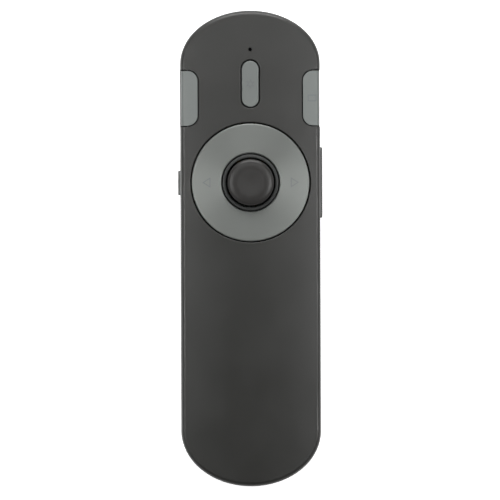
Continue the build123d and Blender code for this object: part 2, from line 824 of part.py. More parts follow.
# ---------------------------------------------------------------- laser
with BuildPart() as laser_barrel:
    with BuildSketch(facing_nose(0, laser_barrel_rear, laser_axis_height)):
        Circle(laser_barrel_radius)
    extrude(amount=laser_barrel_length)
    with BuildSketch(facing_nose(0, laser_barrel_rear + laser_barrel_length / 2, laser_axis_height)):
        Circle(laser_barrel_bore)
    extrude(amount=laser_barrel_length, mode=Mode.SUBTRACT)
laser_barrel.part.label = "laser_barrel"
export_step(laser_barrel.part, "parts/laser_barrel.step")

with BuildPart() as laser_lens:
    lens_front = laser_barrel_front - laser_lens_setback
    with BuildSketch(facing_nose(0, lens_front - laser_lens_thickness, laser_axis_height)):
        Circle(laser_barrel_bore)
    extrude(amount=laser_lens_thickness)
laser_lens.part.label = "laser_lens"
export_step(laser_lens.part, "parts/laser_lens.step")

with BuildPart() as laser_bezel:
    with BuildSketch(facing_nose(0, laser_barrel_front, laser_axis_height)):
        Circle(laser_bezel_radius)
        Circle(laser_bezel_bore, mode=Mode.SUBTRACT)
    extrude(amount=laser_bezel_length)
    chamfer(laser_bezel.faces().sort_by(Axis.Y)[-1].inner_wires()[0].edges(), laser_bezel_chamfer)
laser_bezel.part.label = "laser_bezel"
export_step(laser_bezel.part, "parts/laser_bezel.step")

with BuildPart() as laser_driver_board:
    with BuildSketch(facing_nose(0, laser_barrel_rear - driver_board_length, laser_axis_height)):
        Rectangle(driver_board_width, driver_board_thickness)
    extrude(amount=driver_board_length)
laser_driver_board.part.label = "laser_driver_board"
export_step(laser_driver_board.part, "parts/laser_driver_board.step")

# ---------------------------------------------------------------- keys
flange_drop = wall + flange_clearance + key_flange_thickness
laser_flange_bottom = crown_top(laser_key_y + laser_key_length / 2) - flange_drop
key_face = crowned_block(-laser_key_proud)

with BuildPart() as laser_button_head:
    with BuildSketch(Plane((0, laser_key_y, laser_flange_bottom))):
        SlotOverall(laser_key_length, laser_key_width, rotation=90)
    extrude(amount=body_height)
    add(key_face, mode=Mode.INTERSECT)
    fillet(laser_button_head.faces().sort_by(Axis.Z)[-1].edges(), key_edge_radius)
with BuildPart() as laser_button_flange:
    with BuildSketch(Plane((0, laser_key_y, laser_flange_bottom))):
        SlotOverall(laser_key_length + 2 * (key_gap + key_flange_reach),
                    laser_key_width + 2 * (key_gap + key_flange_reach), rotation=90)
    extrude(amount=body_height)
    add(flange_ceiling, mode=Mode.INTERSECT)
with BuildPart() as laser_button:
    add(laser_button_head.part)
    add(laser_button_flange.part)
    with BuildSketch(Plane((0, laser_key_y, key_post_bottom))):
        Circle(key_post_radius)
    extrude(amount=laser_flange_bottom - key_post_bottom)
laser_button.part.label = "laser_button"
export_step(laser_button.part, "parts/laser_button.step")

side_flange_bottom = crown_top(side_key_y + side_key_length / 2) - crown_across - flange_drop


def side_key(side):
    """Wrap-over key: a head and a skirt that follow the case, and behind it a flange and an apron.

    A post stands on the key's switch. The apron closes the gap under the skirt from inside.
    """
    plan = side_key_plan(side)
    flange_plan = side_key_plan(side, key_gap + key_flange_reach)
    with BuildPart() as skirt:
        with BuildSketch(Plane.XY.offset(side_key_bottom)):
            add(plan)
        extrude(amount=body_height)
        add(key_form, mode=Mode.INTERSECT)
        add(key_core_form, mode=Mode.SUBTRACT)
    with BuildPart() as apron:
        with BuildSketch(Plane.XY.offset(side_key_bottom - side_key_apron)):
            add(flange_plan)
        extrude(amount=side_flange_bottom + side_key_apron - side_key_bottom)
        add(flange_form, mode=Mode.INTERSECT)
        add(key_core_form, mode=Mode.SUBTRACT)
    with BuildPart() as head:
        with BuildSketch(Plane.XY.offset(side_flange_bottom)):
            add(plan)
        extrude(amount=body_height)
        add(key_form, mode=Mode.INTERSECT)
    with BuildPart() as flange:
        with BuildSketch(Plane.XY.offset(side_flange_bottom)):
            add(flange_plan)
        extrude(amount=body_height)
        add(flange_form, mode=Mode.INTERSECT)
    with BuildPart() as key:
        add(skirt.part)
        add(apron.part)
        add(head.part)
        add(flange.part)
        with BuildSketch(Plane((side * side_switch_x, side_key_y, key_post_bottom))):
            Circle(key_post_radius)
        extrude(amount=side_flange_bottom - key_post_bottom)
    return key


left_button = side_key(-1)
left_button.part.label = "left_button"
export_step(left_button.part, "parts/left_button.step")

right_button = side_key(1)
right_button.part.label = "right_button"
export_step(right_button.part, "parts/right_button.step")

# ---------------------------------------------------------------- status light
with BuildPart() as indicator_led:
    with BuildSketch(Plane((0, light_y, board_top))):
        Rectangle(led_side, led_side)
    extrude(amount=led_height)
indicator_led.part.label = "indicator_led"
export_step(indicator_led.part, "parts/indicator_led.step")

face_at_light = crown_top(light_y)
with BuildPart() as indicator_light_pipe:
    pipe_bottom = board_top + led_height
    with BuildSketch(Plane((0, light_y, pipe_bottom))):
        Circle(light_pipe_radius)
    extrude(amount=face_at_light - seat_clearance - pipe_bottom)
    flange_top = face_at_light - wall - seat_clearance
    with BuildSketch(Plane((0, light_y, flange_top - light_pipe_flange_thickness))):
        Circle(light_pipe_flange_radius)
    extrude(amount=light_pipe_flange_thickness)
indicator_light_pipe.part.label = "indicator_light_pipe"
export_step(indicator_light_pipe.part, "parts/indicator_light_pipe.step")

# ---------------------------------------------------------------- navigation ring
with BuildPart() as navigation_ring:
    with BuildSketch(Plane((0, ring_y, ring_underside))):
        Circle(ring_radius)
        Circle(ring_bore_radius, mode=Mode.SUBTRACT)
    extrude(amount=body_height)
    add(crown, mode=Mode.INTERSECT)
    fillet(navigation_ring.faces().sort_by(Axis.Z)[-1].edges(), ring_edge_radius)
    # two lugs on the hoop's pins, and a plunger over each switch
    lug_bottom = ring_pivot_height - pivot_pin_radius - lug_wall
    with BuildSketch(Plane((0, ring_y, lug_bottom))):
        with Locations(*[(0, s * (lug_inner_radius + lug_thickness / 2)) for s in (-1, 1)]):
            Rectangle(lug_width, lug_thickness)
    extrude(amount=ring_underside + ring_thickness / 2 - lug_bottom)
    with BuildSketch(Plane((0, ring_y, plunger_bottom))):
        with PolarLocations(plunger_circle_radius, 4):
            Circle(plunger_radius)
    extrude(amount=ring_underside - plunger_bottom)
    with BuildSketch(facing_nose(0, ring_y, ring_pivot_height)):
        Circle(pivot_pin_radius + running_clearance)
    extrude(amount=lug_inner_radius + lug_thickness, both=True, mode=Mode.SUBTRACT)
navigation_ring.part.label = "navigation_ring"
export_step(navigation_ring.part, "parts/navigation_ring.step")

with BuildPart() as ring_gimbal_hoop:
    with BuildSketch(Plane((0, ring_y, ring_pivot_height - hoop_height / 2))):
        Circle(hoop_radius)
        Circle(hoop_inner_radius, mode=Mode.SUBTRACT)
    extrude(amount=hoop_height)
    for end in (-1, 1):
        with BuildSketch(facing_nose(0, ring_y + end * (hoop_radius - pivot_pin_root), ring_pivot_height)):
            Circle(pivot_pin_radius)
        extrude(amount=end * (pivot_pin_root + lug_gap + lug_thickness))
    with BuildSketch(facing_right(0, ring_y, ring_pivot_height)):
        Circle(pivot_pin_radius + running_clearance)
    extrude(amount=hoop_radius, both=True, mode=Mode.SUBTRACT)
ring_gimbal_hoop.part.label = "ring_gimbal_hoop"
export_step(ring_gimbal_hoop.part, "parts/ring_gimbal_hoop.step")

# ---------------------------------------------------------------- joystick
with BuildPart() as joystick_bezel:
    shoulder_top = ring_pivot_height + shoulder_above_pivot
    with BuildSketch(half_section(0, ring_y)):
        with BuildLine():
            Polyline((skirt_radius - skirt_wall, board_top), (skirt_radius, board_top),
                     (skirt_radius, shoulder_top), (collar_radius, shoulder_top),
                     (collar_radius, body_height - collar_drop),
                     (collar_radius - collar_wall, body_height - collar_drop),
                     (collar_radius - collar_wall, shoulder_top - shoulder_thickness),
                     (skirt_radius - skirt_wall, shoulder_top - shoulder_thickness), close=True)
        make_face()
    revolve(axis=Axis((0, ring_y, 0), (0, 0, 1)))
    fillet(joystick_bezel.faces().sort_by(Axis.Z)[-1].edges(), collar_rim_radius)
    # trunnions for the hoop
    for side in (-1, 1):
        trunnion_root = skirt_radius - skirt_wall / 2
        with BuildSketch(facing_right(side * trunnion_root, ring_y, ring_pivot_height)):
            Circle(pivot_pin_radius)
        extrude(amount=side * (hoop_radius - trunnion_end_gap - trunnion_root))
joystick_bezel.part.label = "joystick_bezel"
export_step(joystick_bezel.part, "parts/joystick_bezel.step")

with BuildPart() as joystick_housing:
    with BuildSketch(Plane((0, ring_y, board_top))):
        Rectangle(stick_housing_side, stick_housing_side)
    extrude(amount=stick_housing_height)
    with BuildSketch(Plane((0, ring_y, board_top))):
        inner_side = stick_housing_side - 2 * stick_housing_wall
        Rectangle(inner_side, inner_side)
    extrude(amount=stick_housing_height - stick_housing_wall, mode=Mode.SUBTRACT)
    with BuildSketch(Plane((0, ring_y, board_top))):
        Circle(stick_housing_window_radius)
    extrude(amount=stick_housing_height, mode=Mode.SUBTRACT)
    with BuildSketch(facing_right(0, ring_y, stick_pivot_height)):
        Circle(frame_pin_radius + running_clearance)
    extrude(amount=stick_housing_side, both=True, mode=Mode.SUBTRACT)
joystick_housing.part.label = "joystick_housing"
export_step(joystick_housing.part, "parts/joystick_housing.step")

with BuildPart() as joystick_press_dome:
    dome_sphere = arc_radius(press_dome_radius, press_dome_height)
    with BuildSketch(half_section(0, ring_y)):
        with BuildLine():
            dome_angle = degrees(asin(press_dome_radius / dome_sphere))
            CenterArc((0, board_top + press_dome_height - dome_sphere), dome_sphere,
                      90 - dome_angle, dome_angle)
            Polyline((0, board_top + press_dome_height), (0, board_top), (press_dome_radius, board_top))
        make_face()
    revolve(axis=Axis((0, ring_y, 0), (0, 0, 1)))
joystick_press_dome.part.label = "joystick_press_dome"
export_step(joystick_press_dome.part, "parts/joystick_press_dome.step")

with BuildPart() as joystick_outer_gimbal:
    with BuildSketch(Plane((0, ring_y, stick_pivot_height - frame_height / 2))):
        Rectangle(frame_length, frame_width)
        Rectangle(frame_length - 2 * frame_wall, frame_width - 2 * frame_wall, mode=Mode.SUBTRACT)
    extrude(amount=frame_height)
    for side in (-1, 1):
        pin_root = frame_length / 2 - frame_wall / 2
        with BuildSketch(facing_right(side * pin_root, ring_y, stick_pivot_height)):
            Circle(frame_pin_radius)
        extrude(amount=side * (stick_housing_side / 2 - frame_pin_end_gap - pin_root))
    with BuildSketch(facing_nose(0, ring_y, stick_pivot_height)):
        Circle(frame_pin_radius + running_clearance)
    extrude(amount=frame_width, both=True, mode=Mode.SUBTRACT)
joystick_outer_gimbal.part.label = "joystick_outer_gimbal"
export_step(joystick_outer_gimbal.part, "parts/joystick_outer_gimbal.step")

with BuildPart() as joystick_inner_yoke:
    with BuildSketch(Plane((0, ring_y, stick_pivot_height - frame_height / 2))):
        Rectangle(yoke_length, yoke_width)
    extrude(amount=frame_height)
    with BuildSketch(facing_nose(0, ring_y, stick_pivot_height)):
        Circle(frame_pin_radius)
    extrude(amount=frame_width / 2 - yoke_pin_end_gap, both=True)
    with BuildSketch(Plane((0, ring_y, 0))):
        Circle(stem_radius + running_clearance)
    extrude(amount=body_height, mode=Mode.SUBTRACT)
joystick_inner_yoke.part.label = "joystick_inner_yoke"
export_step(joystick_inner_yoke.part, "parts/joystick_inner_yoke.step")

stem_top = cap_bottom + cap_height - cap_dish_depth - cap_roof_thickness
with BuildPart() as joystick_stem:
    with BuildSketch(Plane((0, ring_y, stem_bottom))):
        Circle(stem_radius)
    extrude(amount=stem_top - stem_bottom)
joystick_stem.part.label = "joystick_stem"
export_step(joystick_stem.part, "parts/joystick_stem.step")

with BuildPart() as joystick_dust_dome:
    dome_inner = dust_dome_radius - dust_dome_wall
    edge_angle = degrees(acos(dust_dome_edge_radius / dust_dome_radius))
    with BuildSketch(half_section(0, ring_y)):
        with BuildLine():
            outer_arc = CenterArc((0, stick_pivot_height), dust_dome_radius, edge_angle, 90 - edge_angle)
            inner_arc = CenterArc((0, stick_pivot_height), dome_inner, edge_angle, 90 - edge_angle)
            Line(outer_arc @ 0, inner_arc @ 0)
            Line(outer_arc @ 1, inner_arc @ 1)
        make_face()
    revolve(axis=Axis((0, ring_y, 0), (0, 0, 1)))
    with BuildSketch(Plane((0, ring_y, 0))):
        Circle(stem_radius)
    extrude(amount=2 * body_height, mode=Mode.SUBTRACT)
joystick_dust_dome.part.label = "joystick_dust_dome"
export_step(joystick_dust_dome.part, "parts/joystick_dust_dome.step")

with BuildPart() as joystick_cap:
    cap_top = cap_bottom + cap_height
    with BuildSketch(half_section(0, ring_y)):
        with BuildLine():
            dish = arc_radius(cap_radius, cap_dish_depth)
            Polyline((0, cap_top - cap_dish_depth), (0, cap_bottom), (cap_radius, cap_bottom),
                     (cap_radius, cap_top))
            CenterArc((0, cap_top - cap_dish_depth + dish), dish, 270, degrees(asin(cap_radius / dish)))
        make_face()
    revolve(axis=Axis((0, ring_y, 0), (0, 0, 1)))
    with BuildSketch(half_section(0, ring_y)):
        with BuildLine():
            CenterArc((0, stick_pivot_height), dust_dome_radius, 0, 90)
            Polyline((0, stick_pivot_height + dust_dome_radius), (0, stick_pivot_height),
                     (dust_dome_radius, stick_pivot_height))
        make_face()
    revolve(axis=Axis((0, ring_y, 0), (0, 0, 1)), mode=Mode.SUBTRACT)
    with BuildSketch(Plane((0, ring_y, 0))):
        Circle(stem_radius)
    extrude(amount=stem_top, mode=Mode.SUBTRACT)
    fillet(full_circles(joystick_cap, cap_radius)[-1], cap_top_edge_radius)
    fillet(full_circles(joystick_cap, cap_radius)[0], cap_bottom_edge_radius)
joystick_cap.part.label = "joystick_cap"
export_step(joystick_cap.part, "parts/joystick_cap.step")

# ---------------------------------------------------------------- lock slider
with BuildPart() as lock_switch_body:
    switch_face_x = lock_switch_gap - side_flange_inner
    with BuildSketch(Plane((switch_face_x + lock_switch_depth / 2, ring_y,
                            board_bottom - lock_switch_height))):
        Rectangle(lock_switch_depth, lock_switch_length)
    extrude(amount=lock_switch_height)
    with BuildSketch(facing_right(switch_face_x, ring_y, slider_arm_level)):
        Rectangle(2 * (slider_travel + slider_arm_clearance) + slider_arm_width,
                  slider_arm_height + 2 * slider_arm_clearance)
    extrude(amount=lock_switch_slot_depth, mode=Mode.SUBTRACT)
lock_switch_body.part.label = "lock_switch_body"
export_step(lock_switch_body.part, "parts/lock_switch_body.step")

with BuildPart() as lock_slider:
    thumb_face_x = -half_width - slider_proud
    with BuildSketch(facing_right(thumb_face_x, ring_y, side_control_center_height)):
        RectangleRounded(slider_length, side_control_height, side_control_corner)
    extrude(amount=-side_flange_inner - thumb_face_x)
    fillet(lock_slider.faces().sort_by(Axis.X)[0].edges(), slider_edge_radius)
    with BuildSketch(facing_right(thumb_face_x, ring_y, side_control_center_height)):
        with GridLocations(slider_grip_pitch, 0, slider_grip_count, 1):
            Rectangle(slider_grip_width, slider_grip_height)
    extrude(amount=slider_grip_depth, mode=Mode.SUBTRACT)
    with BuildSketch(facing_right(-side_flange_outer, ring_y, side_control_center_height)):
        Rectangle(2 * slider_flange_half, side_flange_height)
    extrude(amount=side_flange_thickness)
    with BuildSketch(facing_right(-side_flange_inner, ring_y, slider_arm_level)):
        Rectangle(slider_arm_width, slider_arm_height)
    extrude(amount=lock_switch_gap + lock_switch_slot_depth - slider_arm_clearance)
lock_slider.part.label = "lock_slider"
export_step(lock_slider.part, "parts/lock_slider.step")

# ---------------------------------------------------------------- volume rocker
with BuildPart() as volume_rocker:
    with BuildSketch(facing_right(side_flange_inner, ring_y, side_control_center_height)):
        RectangleRounded(rocker_length, side_control_height, side_control_corner)
    extrude(amount=half_width + rocker_proud - side_flange_inner)
    fillet(volume_rocker.faces().sort_by(Axis.X)[-1].edges(), rocker_edge_radius)
    with BuildSketch(facing_right(side_flange_inner, ring_y, side_control_center_height)):
        Rectangle(rocker_flange_length, side_flange_height)
    extrude(amount=side_flange_thickness)
    with BuildSketch(Plane((rocker_pin_x, ring_y, side_control_center_height - side_flange_height / 2))):
        Circle(rocker_lug_length / 2)
        with Locations(((side_flange_inner - rocker_pin_x) / 2, 0)):
            Rectangle(side_flange_inner - rocker_pin_x, rocker_lug_length)
    extrude(amount=side_flange_height)
    with BuildSketch(Plane((rocker_pin_x, ring_y, 0))):
        Circle(rocker_pin_radius + running_clearance)
    extrude(amount=body_height, mode=Mode.SUBTRACT)
volume_rocker.part.label = "volume_rocker"
export_step(volume_rocker.part, "parts/volume_rocker.step")

with BuildPart() as rocker_pin:
    with BuildSketch(Plane((rocker_pin_x, ring_y, rocker_pin_bottom))):
        Circle(rocker_pin_radius)
    extrude(amount=rocker_pin_top - rocker_pin_bottom)
rocker_pin.part.label = "rocker_pin"
export_step(rocker_pin.part, "parts/rocker_pin.step")

with BuildPart() as volume_switches:
    button_end = side_flange_inner - volume_button_gap
    body_face = button_end - volume_button_length
    for end in (-1, 1):
        switch_y = ring_y + end * volume_switch_from_pin
        with BuildSketch(Plane((body_face - volume_switch_depth / 2, switch_y,
                                board_bottom - volume_switch_height))):
            Rectangle(volume_switch_depth, volume_switch_length)
        extrude(amount=volume_switch_height)
        with BuildSketch(facing_right(body_face, switch_y,
                                      board_bottom - volume_switch_height + volume_button_rise)):
            Circle(volume_button_radius)
        extrude(amount=volume_button_length)
volume_switches.part.label = "volume_switches"
export_step(volume_switches.part, "parts/volume_switches.step")


# ---------------------------------------------------------------- power
def battery_cell(side):
    """AAA cell on one side: the left one points to the nose, the right one to the tail."""
    front = tray_front - contact_thickness
    rear = tray_rear + contact_thickness
    negative_end, way = (front - cell_length, 1) if side < 0 else (rear + cell_length, -1)
    with BuildPart() as cell:
        with BuildSketch(facing_nose(side * cell_x, negative_end, cell_axis_height)):
            Circle(cell_radius)
        extrude(amount=way * (cell_length - cell_nub_height))
        fillet(cell.edges(), cell_edge_radius)
        nub_root = negative_end + way * (cell_length - cell_nub_height)
        with BuildSketch(facing_nose(side * cell_x, nub_root, cell_axis_height)):
            Circle(cell_nub_radius)
        extrude(amount=way * cell_nub_height)
    return cell


battery_left = battery_cell(-1)
battery_left.part.label = "battery_left"
export_step(battery_left.part, "parts/battery_left.step")

battery_right = battery_cell(1)
battery_right.part.label = "battery_right"
export_step(battery_right.part, "parts/battery_right.step")


def coil_spring(x, y, way):
    """Coil of round wire that grows from the plate at y towards the cell."""
    first_turn = y + way * spring_seat
    height = spring_length - 2 * spring_wire_radius
    with BuildPart() as spring:
        with BuildLine() as path:
            Helix(height / spring_turns, height, spring_radius,
                  center=(x, first_turn, cell_axis_height), direction=(0, way, 0))
        with BuildSketch(Plane(origin=path.line @ 0, z_dir=path.line % 0)):
            RegularPolygon(spring_wire_radius, spring_wire_sides)
        sweep(path=path.line, is_frenet=True)
    return spring.part


def contact_plate(x, y, width, tab):
    """Spring-steel plate on the tray's end wall, with or without a tab up to the board."""
    with BuildPart() as plate:
        with BuildSketch(facing_nose(x, y, cell_axis_height)):
            Rectangle(width, contact_height)
        extrude(amount=contact_thickness)
        if tab:
            tab_bottom = cell_axis_height + contact_height / 2
            with BuildSketch(facing_nose(x, y, (tab_bottom + board_bottom) / 2)):
                Rectangle(contact_tab_width, board_bottom - tab_bottom)
            extrude(amount=contact_thickness)
    return plate.part


negative_plate = contact_plate(-cell_x, tray_rear, contact_width, True)
negative_coil = coil_spring(-cell_x, tray_rear + contact_thickness, 1)
with BuildPart() as battery_spring:
    add(negative_plate)
    add(negative_coil)
battery_spring.part.label = "battery_spring"
export_step(battery_spring.part, "parts/battery_spring.step")

positive_plate = contact_plate(cell_x, tray_rear, contact_width, True)
with BuildPart() as battery_positive_contact:
    add(positive_plate)
battery_positive_contact.part.label = "battery_positive_contact"
export_step(battery_positive_contact.part, "parts/battery_positive_contact.step")

bridge_plate = contact_plate(0, tray_front - contact_thickness, 2 * cell_x + contact_width, False)
bridge_coil = coil_spring(cell_x, tray_front - contact_thickness, -1)
with BuildPart() as battery_bridge_contact:
    add(bridge_plate)
    add(bridge_coil)
battery_bridge_contact.part.label = "battery_bridge_contact"
export_step(battery_bridge_contact.part, "parts/battery_bridge_contact.step")

with BuildPart() as battery_door:
    with BuildSketch(Plane((0, (door_rear + door_hinge_y) / 2, 0))):
        Rectangle(2 * door_half_width, door_hinge_y - door_rear)
    extrude(amount=door_thickness)
    with BuildSketch(facing_right(0, door_hinge_y, door_hinge_height)):
        Circle(door_barrel_radius)
    extrude(amount=door_half_width, both=True)
    with BuildSketch(facing_right(0, door_hinge_y, door_hinge_height)):
        Circle(door_pin_radius)
    extrude(amount=door_half_width + door_pin_length, both=True)
    # finger grooves near the free edge
    with BuildSketch(Plane((0, door_rear + door_grip_from_edge, 0))):
        with GridLocations(0, door_grip_pitch, 1, door_grip_count):
            SlotOverall(door_grip_length, door_grip_pitch / 2)
    extrude(amount=door_grip_depth, mode=Mode.SUBTRACT)
battery_door.part.label = "battery_door"
export_step(battery_door.part, "parts/battery_door.step")

# ---------------------------------------------------------------- receiver
with BuildPart() as receiver_plug_shell:
    with BuildSketch(facing_nose(0, plug_rear, receiver_axis_height)):
        Rectangle(plug_width, plug_height)
        Rectangle(plug_width - 2 * plug_wall, plug_height - 2 * plug_wall, mode=Mode.SUBTRACT)
    extrude(amount=plug_front - plug_rear)
    with BuildSketch(Plane((0, plug_front - plug_window_from_front, 0))):
        with GridLocations(plug_window_spacing, 0, 2, 1):
            Rectangle(plug_window_width, plug_window_length)
    extrude(amount=body_height, mode=Mode.SUBTRACT)
receiver_plug_shell.part.label = "receiver_plug_shell"
export_step(receiver_plug_shell.part, "parts/receiver_plug_shell.step")

tongue_bottom = receiver_axis_height - plug_height / 2 + plug_wall
with BuildPart() as receiver_insulator:
    with BuildSketch(facing_nose(0, plug_rear, tongue_bottom + tongue_thickness / 2)):
        Rectangle(plug_width - 2 * plug_wall - 2 * tongue_clearance, tongue_thickness)
    extrude(amount=plug_front - tongue_setback - plug_rear)
receiver_insulator.part.label = "receiver_insulator"
export_step(receiver_insulator.part, "parts/receiver_insulator.step")

with BuildPart() as receiver_contacts:
    with BuildSketch(Plane((0, (plug_rear + plug_front) / 2, tongue_bottom + tongue_thickness))):
        with GridLocations(contact_strip_pitch, 0, contact_strip_count, 1):
            Rectangle(contact_strip_width, plug_front - plug_rear - 2 * contact_strip_setback)
    extrude(amount=contact_strip_thickness)
receiver_contacts.part.label = "receiver_contacts"
export_step(receiver_contacts.part, "parts/receiver_contacts.step")

with BuildPart() as receiver_cap:
    with BuildSketch(facing_nose(0, tail_end, receiver_axis_height)):
        RectangleRounded(receiver_cap_width, receiver_cap_height, receiver_cap_corner)
    extrude(amount=receiver_cap_length)
    add(outer_form, mode=Mode.INTERSECT)
    # groove for a fingernail
    with BuildSketch(facing_nose(0, tail_end, receiver_axis_height)):
        SlotOverall(receiver_nail_length, receiver_nail_width)
    extrude(amount=receiver_nail_depth, mode=Mode.SUBTRACT)
    with BuildSketch(facing_nose(0, plug_rear, receiver_axis_height)):
        Rectangle(plug_width, plug_height)
    extrude(amount=plug_into_cap, mode=Mode.SUBTRACT)
receiver_cap.part.label = "receiver_cap"
export_step(receiver_cap.part, "parts/receiver_cap.step")
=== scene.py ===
import math

import bpy
import numpy as np
from bpy.props import FloatProperty, FloatVectorProperty, PointerProperty
from bpy.types import Operator, Panel, PropertyGroup
from mathutils import Matrix, Vector


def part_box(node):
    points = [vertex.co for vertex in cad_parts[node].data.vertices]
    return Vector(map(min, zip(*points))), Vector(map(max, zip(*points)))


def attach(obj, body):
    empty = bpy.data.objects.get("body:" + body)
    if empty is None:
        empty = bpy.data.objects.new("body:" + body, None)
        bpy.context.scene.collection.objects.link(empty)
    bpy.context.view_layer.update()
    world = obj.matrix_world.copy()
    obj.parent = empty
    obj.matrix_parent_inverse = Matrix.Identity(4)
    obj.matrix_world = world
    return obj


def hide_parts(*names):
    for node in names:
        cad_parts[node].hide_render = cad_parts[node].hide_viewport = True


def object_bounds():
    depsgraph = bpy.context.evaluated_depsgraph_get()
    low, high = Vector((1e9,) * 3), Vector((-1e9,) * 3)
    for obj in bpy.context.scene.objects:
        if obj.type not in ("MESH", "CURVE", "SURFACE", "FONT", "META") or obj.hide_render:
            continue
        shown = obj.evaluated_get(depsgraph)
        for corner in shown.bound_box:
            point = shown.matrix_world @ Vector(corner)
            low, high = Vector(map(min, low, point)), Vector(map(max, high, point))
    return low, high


bl_info = {
    "name": "Presentation Clicker Looks",
    "version": (1, 0, 0),
    "blender": (4, 5, 0),
    "location": "3D View > Sidebar > Clicker",
    "description": "Finishes, printed marks and studio stage for a hand-held presentation clicker",
    "category": "Object",
}

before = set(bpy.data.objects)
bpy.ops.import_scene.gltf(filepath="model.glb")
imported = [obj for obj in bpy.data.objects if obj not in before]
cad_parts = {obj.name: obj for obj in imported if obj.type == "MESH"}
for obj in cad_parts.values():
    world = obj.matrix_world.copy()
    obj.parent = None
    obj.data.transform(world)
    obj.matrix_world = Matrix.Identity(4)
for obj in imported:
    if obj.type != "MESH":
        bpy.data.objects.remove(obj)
cad_box = [list(corner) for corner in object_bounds()]

MM = 0.001

# Heights of the bump under each finish, from the smoothest to the coarsest.
POLISHED_RELIEF = MM / 1000
INK_RELIEF = 2 * MM / 1000
SCRATCH_RELIEF = 3 * MM / 1000
SATIN_RELIEF = 4 * MM / 1000
ERODED_RELIEF = 5 * MM / 1000
COARSE_RELIEF = 6 * MM / 1000
SLEEVE_RELIEF = 20 * MM / 1000
MASK_RELIEF = 30 * MM / 1000

CLOUD_WIDTH = 9 * MM  # faint cloudy tone of moulded plastic
CLOUD_SHARE = 0.6  # its part in the plastic's tone, beside the grain's
GLOSS_SWING = 0.03  # how far its roughness drifts either way
METAL_HAZE = 4 * MM  # cloudy tone of bright metal
SLEEVE_HAZE = 3 * MM  # cloudy wear of a battery cell's sleeve
SPECKLE_WIDTH = 0.2 * MM  # grain of fired ceramic
TRACK_SPACING, PAD_SPACING = 2.4 * MM, 3.1 * MM  # mean distances on a circuit board
GAP_SHADE_FADE = 0.15 * MM  # width over which the painted shade of the gaps sets in on the flanks of keys and ring
SKIRT_INSET = 0.65 * MM  # the side keys' painted skirts start this far inside the case's side
WEAR_FADE = 0.1 * MM  # half the width over which the knob's wear sets in
BAND_LENGTH, BAND_EDGE = 13 * MM, 0.2 * MM  # bright band of a battery cell
SLEEVE_INSET = 0.9 * MM  # width of the sleeve's rim on a cell's ends
SOLDER_WIDTH = 0.4 * MM  # soldered end of a chip capacitor
LEVEL_ENOUGH = 0.985  # upward share of the normal of a face that belongs to the crown
CROWN_FALL = 7 * MM  # the crown lies no lower than this under the model's top
RIM_DROP = 5 * MM  # the key face's rim lies this far under the model's top
SHARP_ANGLE = math.radians(40)  # edges of a turned piece that turn by more are shaded sharp
CURVE_STEPS, SEAT_STEPS = 25, 9  # places along each curve of the knob, and along its seat
FLOOR_REACH = 6.0  # metres from the middle of the floor to its edge
WORLD_FADE = (0.15, 0.6)  # upward shares of a direction between which the world's light fades


# ---------------------------------------------------------------- sizes and colours
def shade(red, green, blue):
    """Scene-linear colour of a paint chip given as it looks on screen, 0 to 255."""
    chip = np.array((red, green, blue)) / 255
    return tuple(float(v) for v in np.where(chip < 0.04045, chip / 12.92, ((chip + 0.055) / 1.055) ** 2.4))


def colour_prop(name, description, default):
    """A colour of one finish."""
    return FloatVectorProperty(name=name, description=description, default=default, size=3,
                               min=0, max=1, subtype="COLOR")


def length_prop(name, description, millimetres):
    """A length, given in millimetres and kept in metres."""
    return FloatProperty(name=name, description=description, default=millimetres * MM, min=0,
                         unit="LENGTH", precision=5)


def share_prop(name, description, default):
    """A plain share from 0 to 1."""
    return FloatProperty(name=name, description=description, default=default, min=0, max=1,
                         subtype="FACTOR")


def angle_prop(name, description, degrees):
    """An angle, given in degrees and kept in radians."""
    return FloatProperty(name=name, description=description, default=math.radians(degrees), subtype="ANGLE")


def power_prop(name, description, watts):
    """The power of a lamp."""
    return FloatProperty(name=name, description=description, default=watts, min=0, unit="POWER")


class ClickerFinishes(PropertyGroup):
    """Colours and surface textures of the clicker's pieces."""

    case: colour_prop("Case", "Charcoal of the moulded case and door", shade(37, 37, 35))
    keys: colour_prop("Keys", "Silver grey of the laser key and the two side keys", shade(103, 107, 105))
    ring: colour_prop("Ring", "Silver grey of the navigation ring", shade(111, 114, 111))
    # This black is painted shade: it stands in for the shade far down in the gaps round the keys and the
    # ring.
    bare: colour_prop("Bare plastic", "Black plastic of the keys and the ring below their paint",
                      shade(16, 16, 16))
    side_controls: colour_prop("Side controls", "Grey of the lock slider", shade(118, 120, 118))
    rocker: colour_prop("Rocker", "Grey of the volume rocker", shade(80, 81, 80))
    collar: colour_prop("Collar", "Charcoal of the collar round the knob", shade(50, 52, 51))
    knob: colour_prop("Knob", "Soft black of the joystick knob", shade(44, 43, 42))
    # On the ring, the arrows' darker grey is painted shade: it stands in for the shade in engraved grooves.
    marks: colour_prop("Marks", "Grey of the marks printed on the keys and the ring", shade(92, 96, 96))
    case_gloss: share_prop("Case roughness", "Roughness of the case under its texture", 0.38)
    key_gloss: share_prop("Key roughness", "Roughness of the keys and the ring", 0.42)
    knob_gloss: share_prop("Knob roughness", "Roughness of the knob's soft coating", 0.5)
    knob_polish: share_prop("Knob polish", "How much smoother the thumb has worn the knob's shoulder", 0.16)
    case_grain: length_prop("Case grain", "Width of a grain of the case's eroded texture", 0.16)
    paint_grain: length_prop("Paint grain", "Width of a grain of the keys' satin paint", 0.09)
    # Depth under a face at which the painted shade of the gaps begins on the flanks of keys and ring.
    gap_shade_depth: length_prop("Paint depth", "Reach of the paint down the flanks of keys and ring", 0.3)
    spin: share_prop("Spin", "Drawn-out gloss of the ring's circular finish", 0.6)


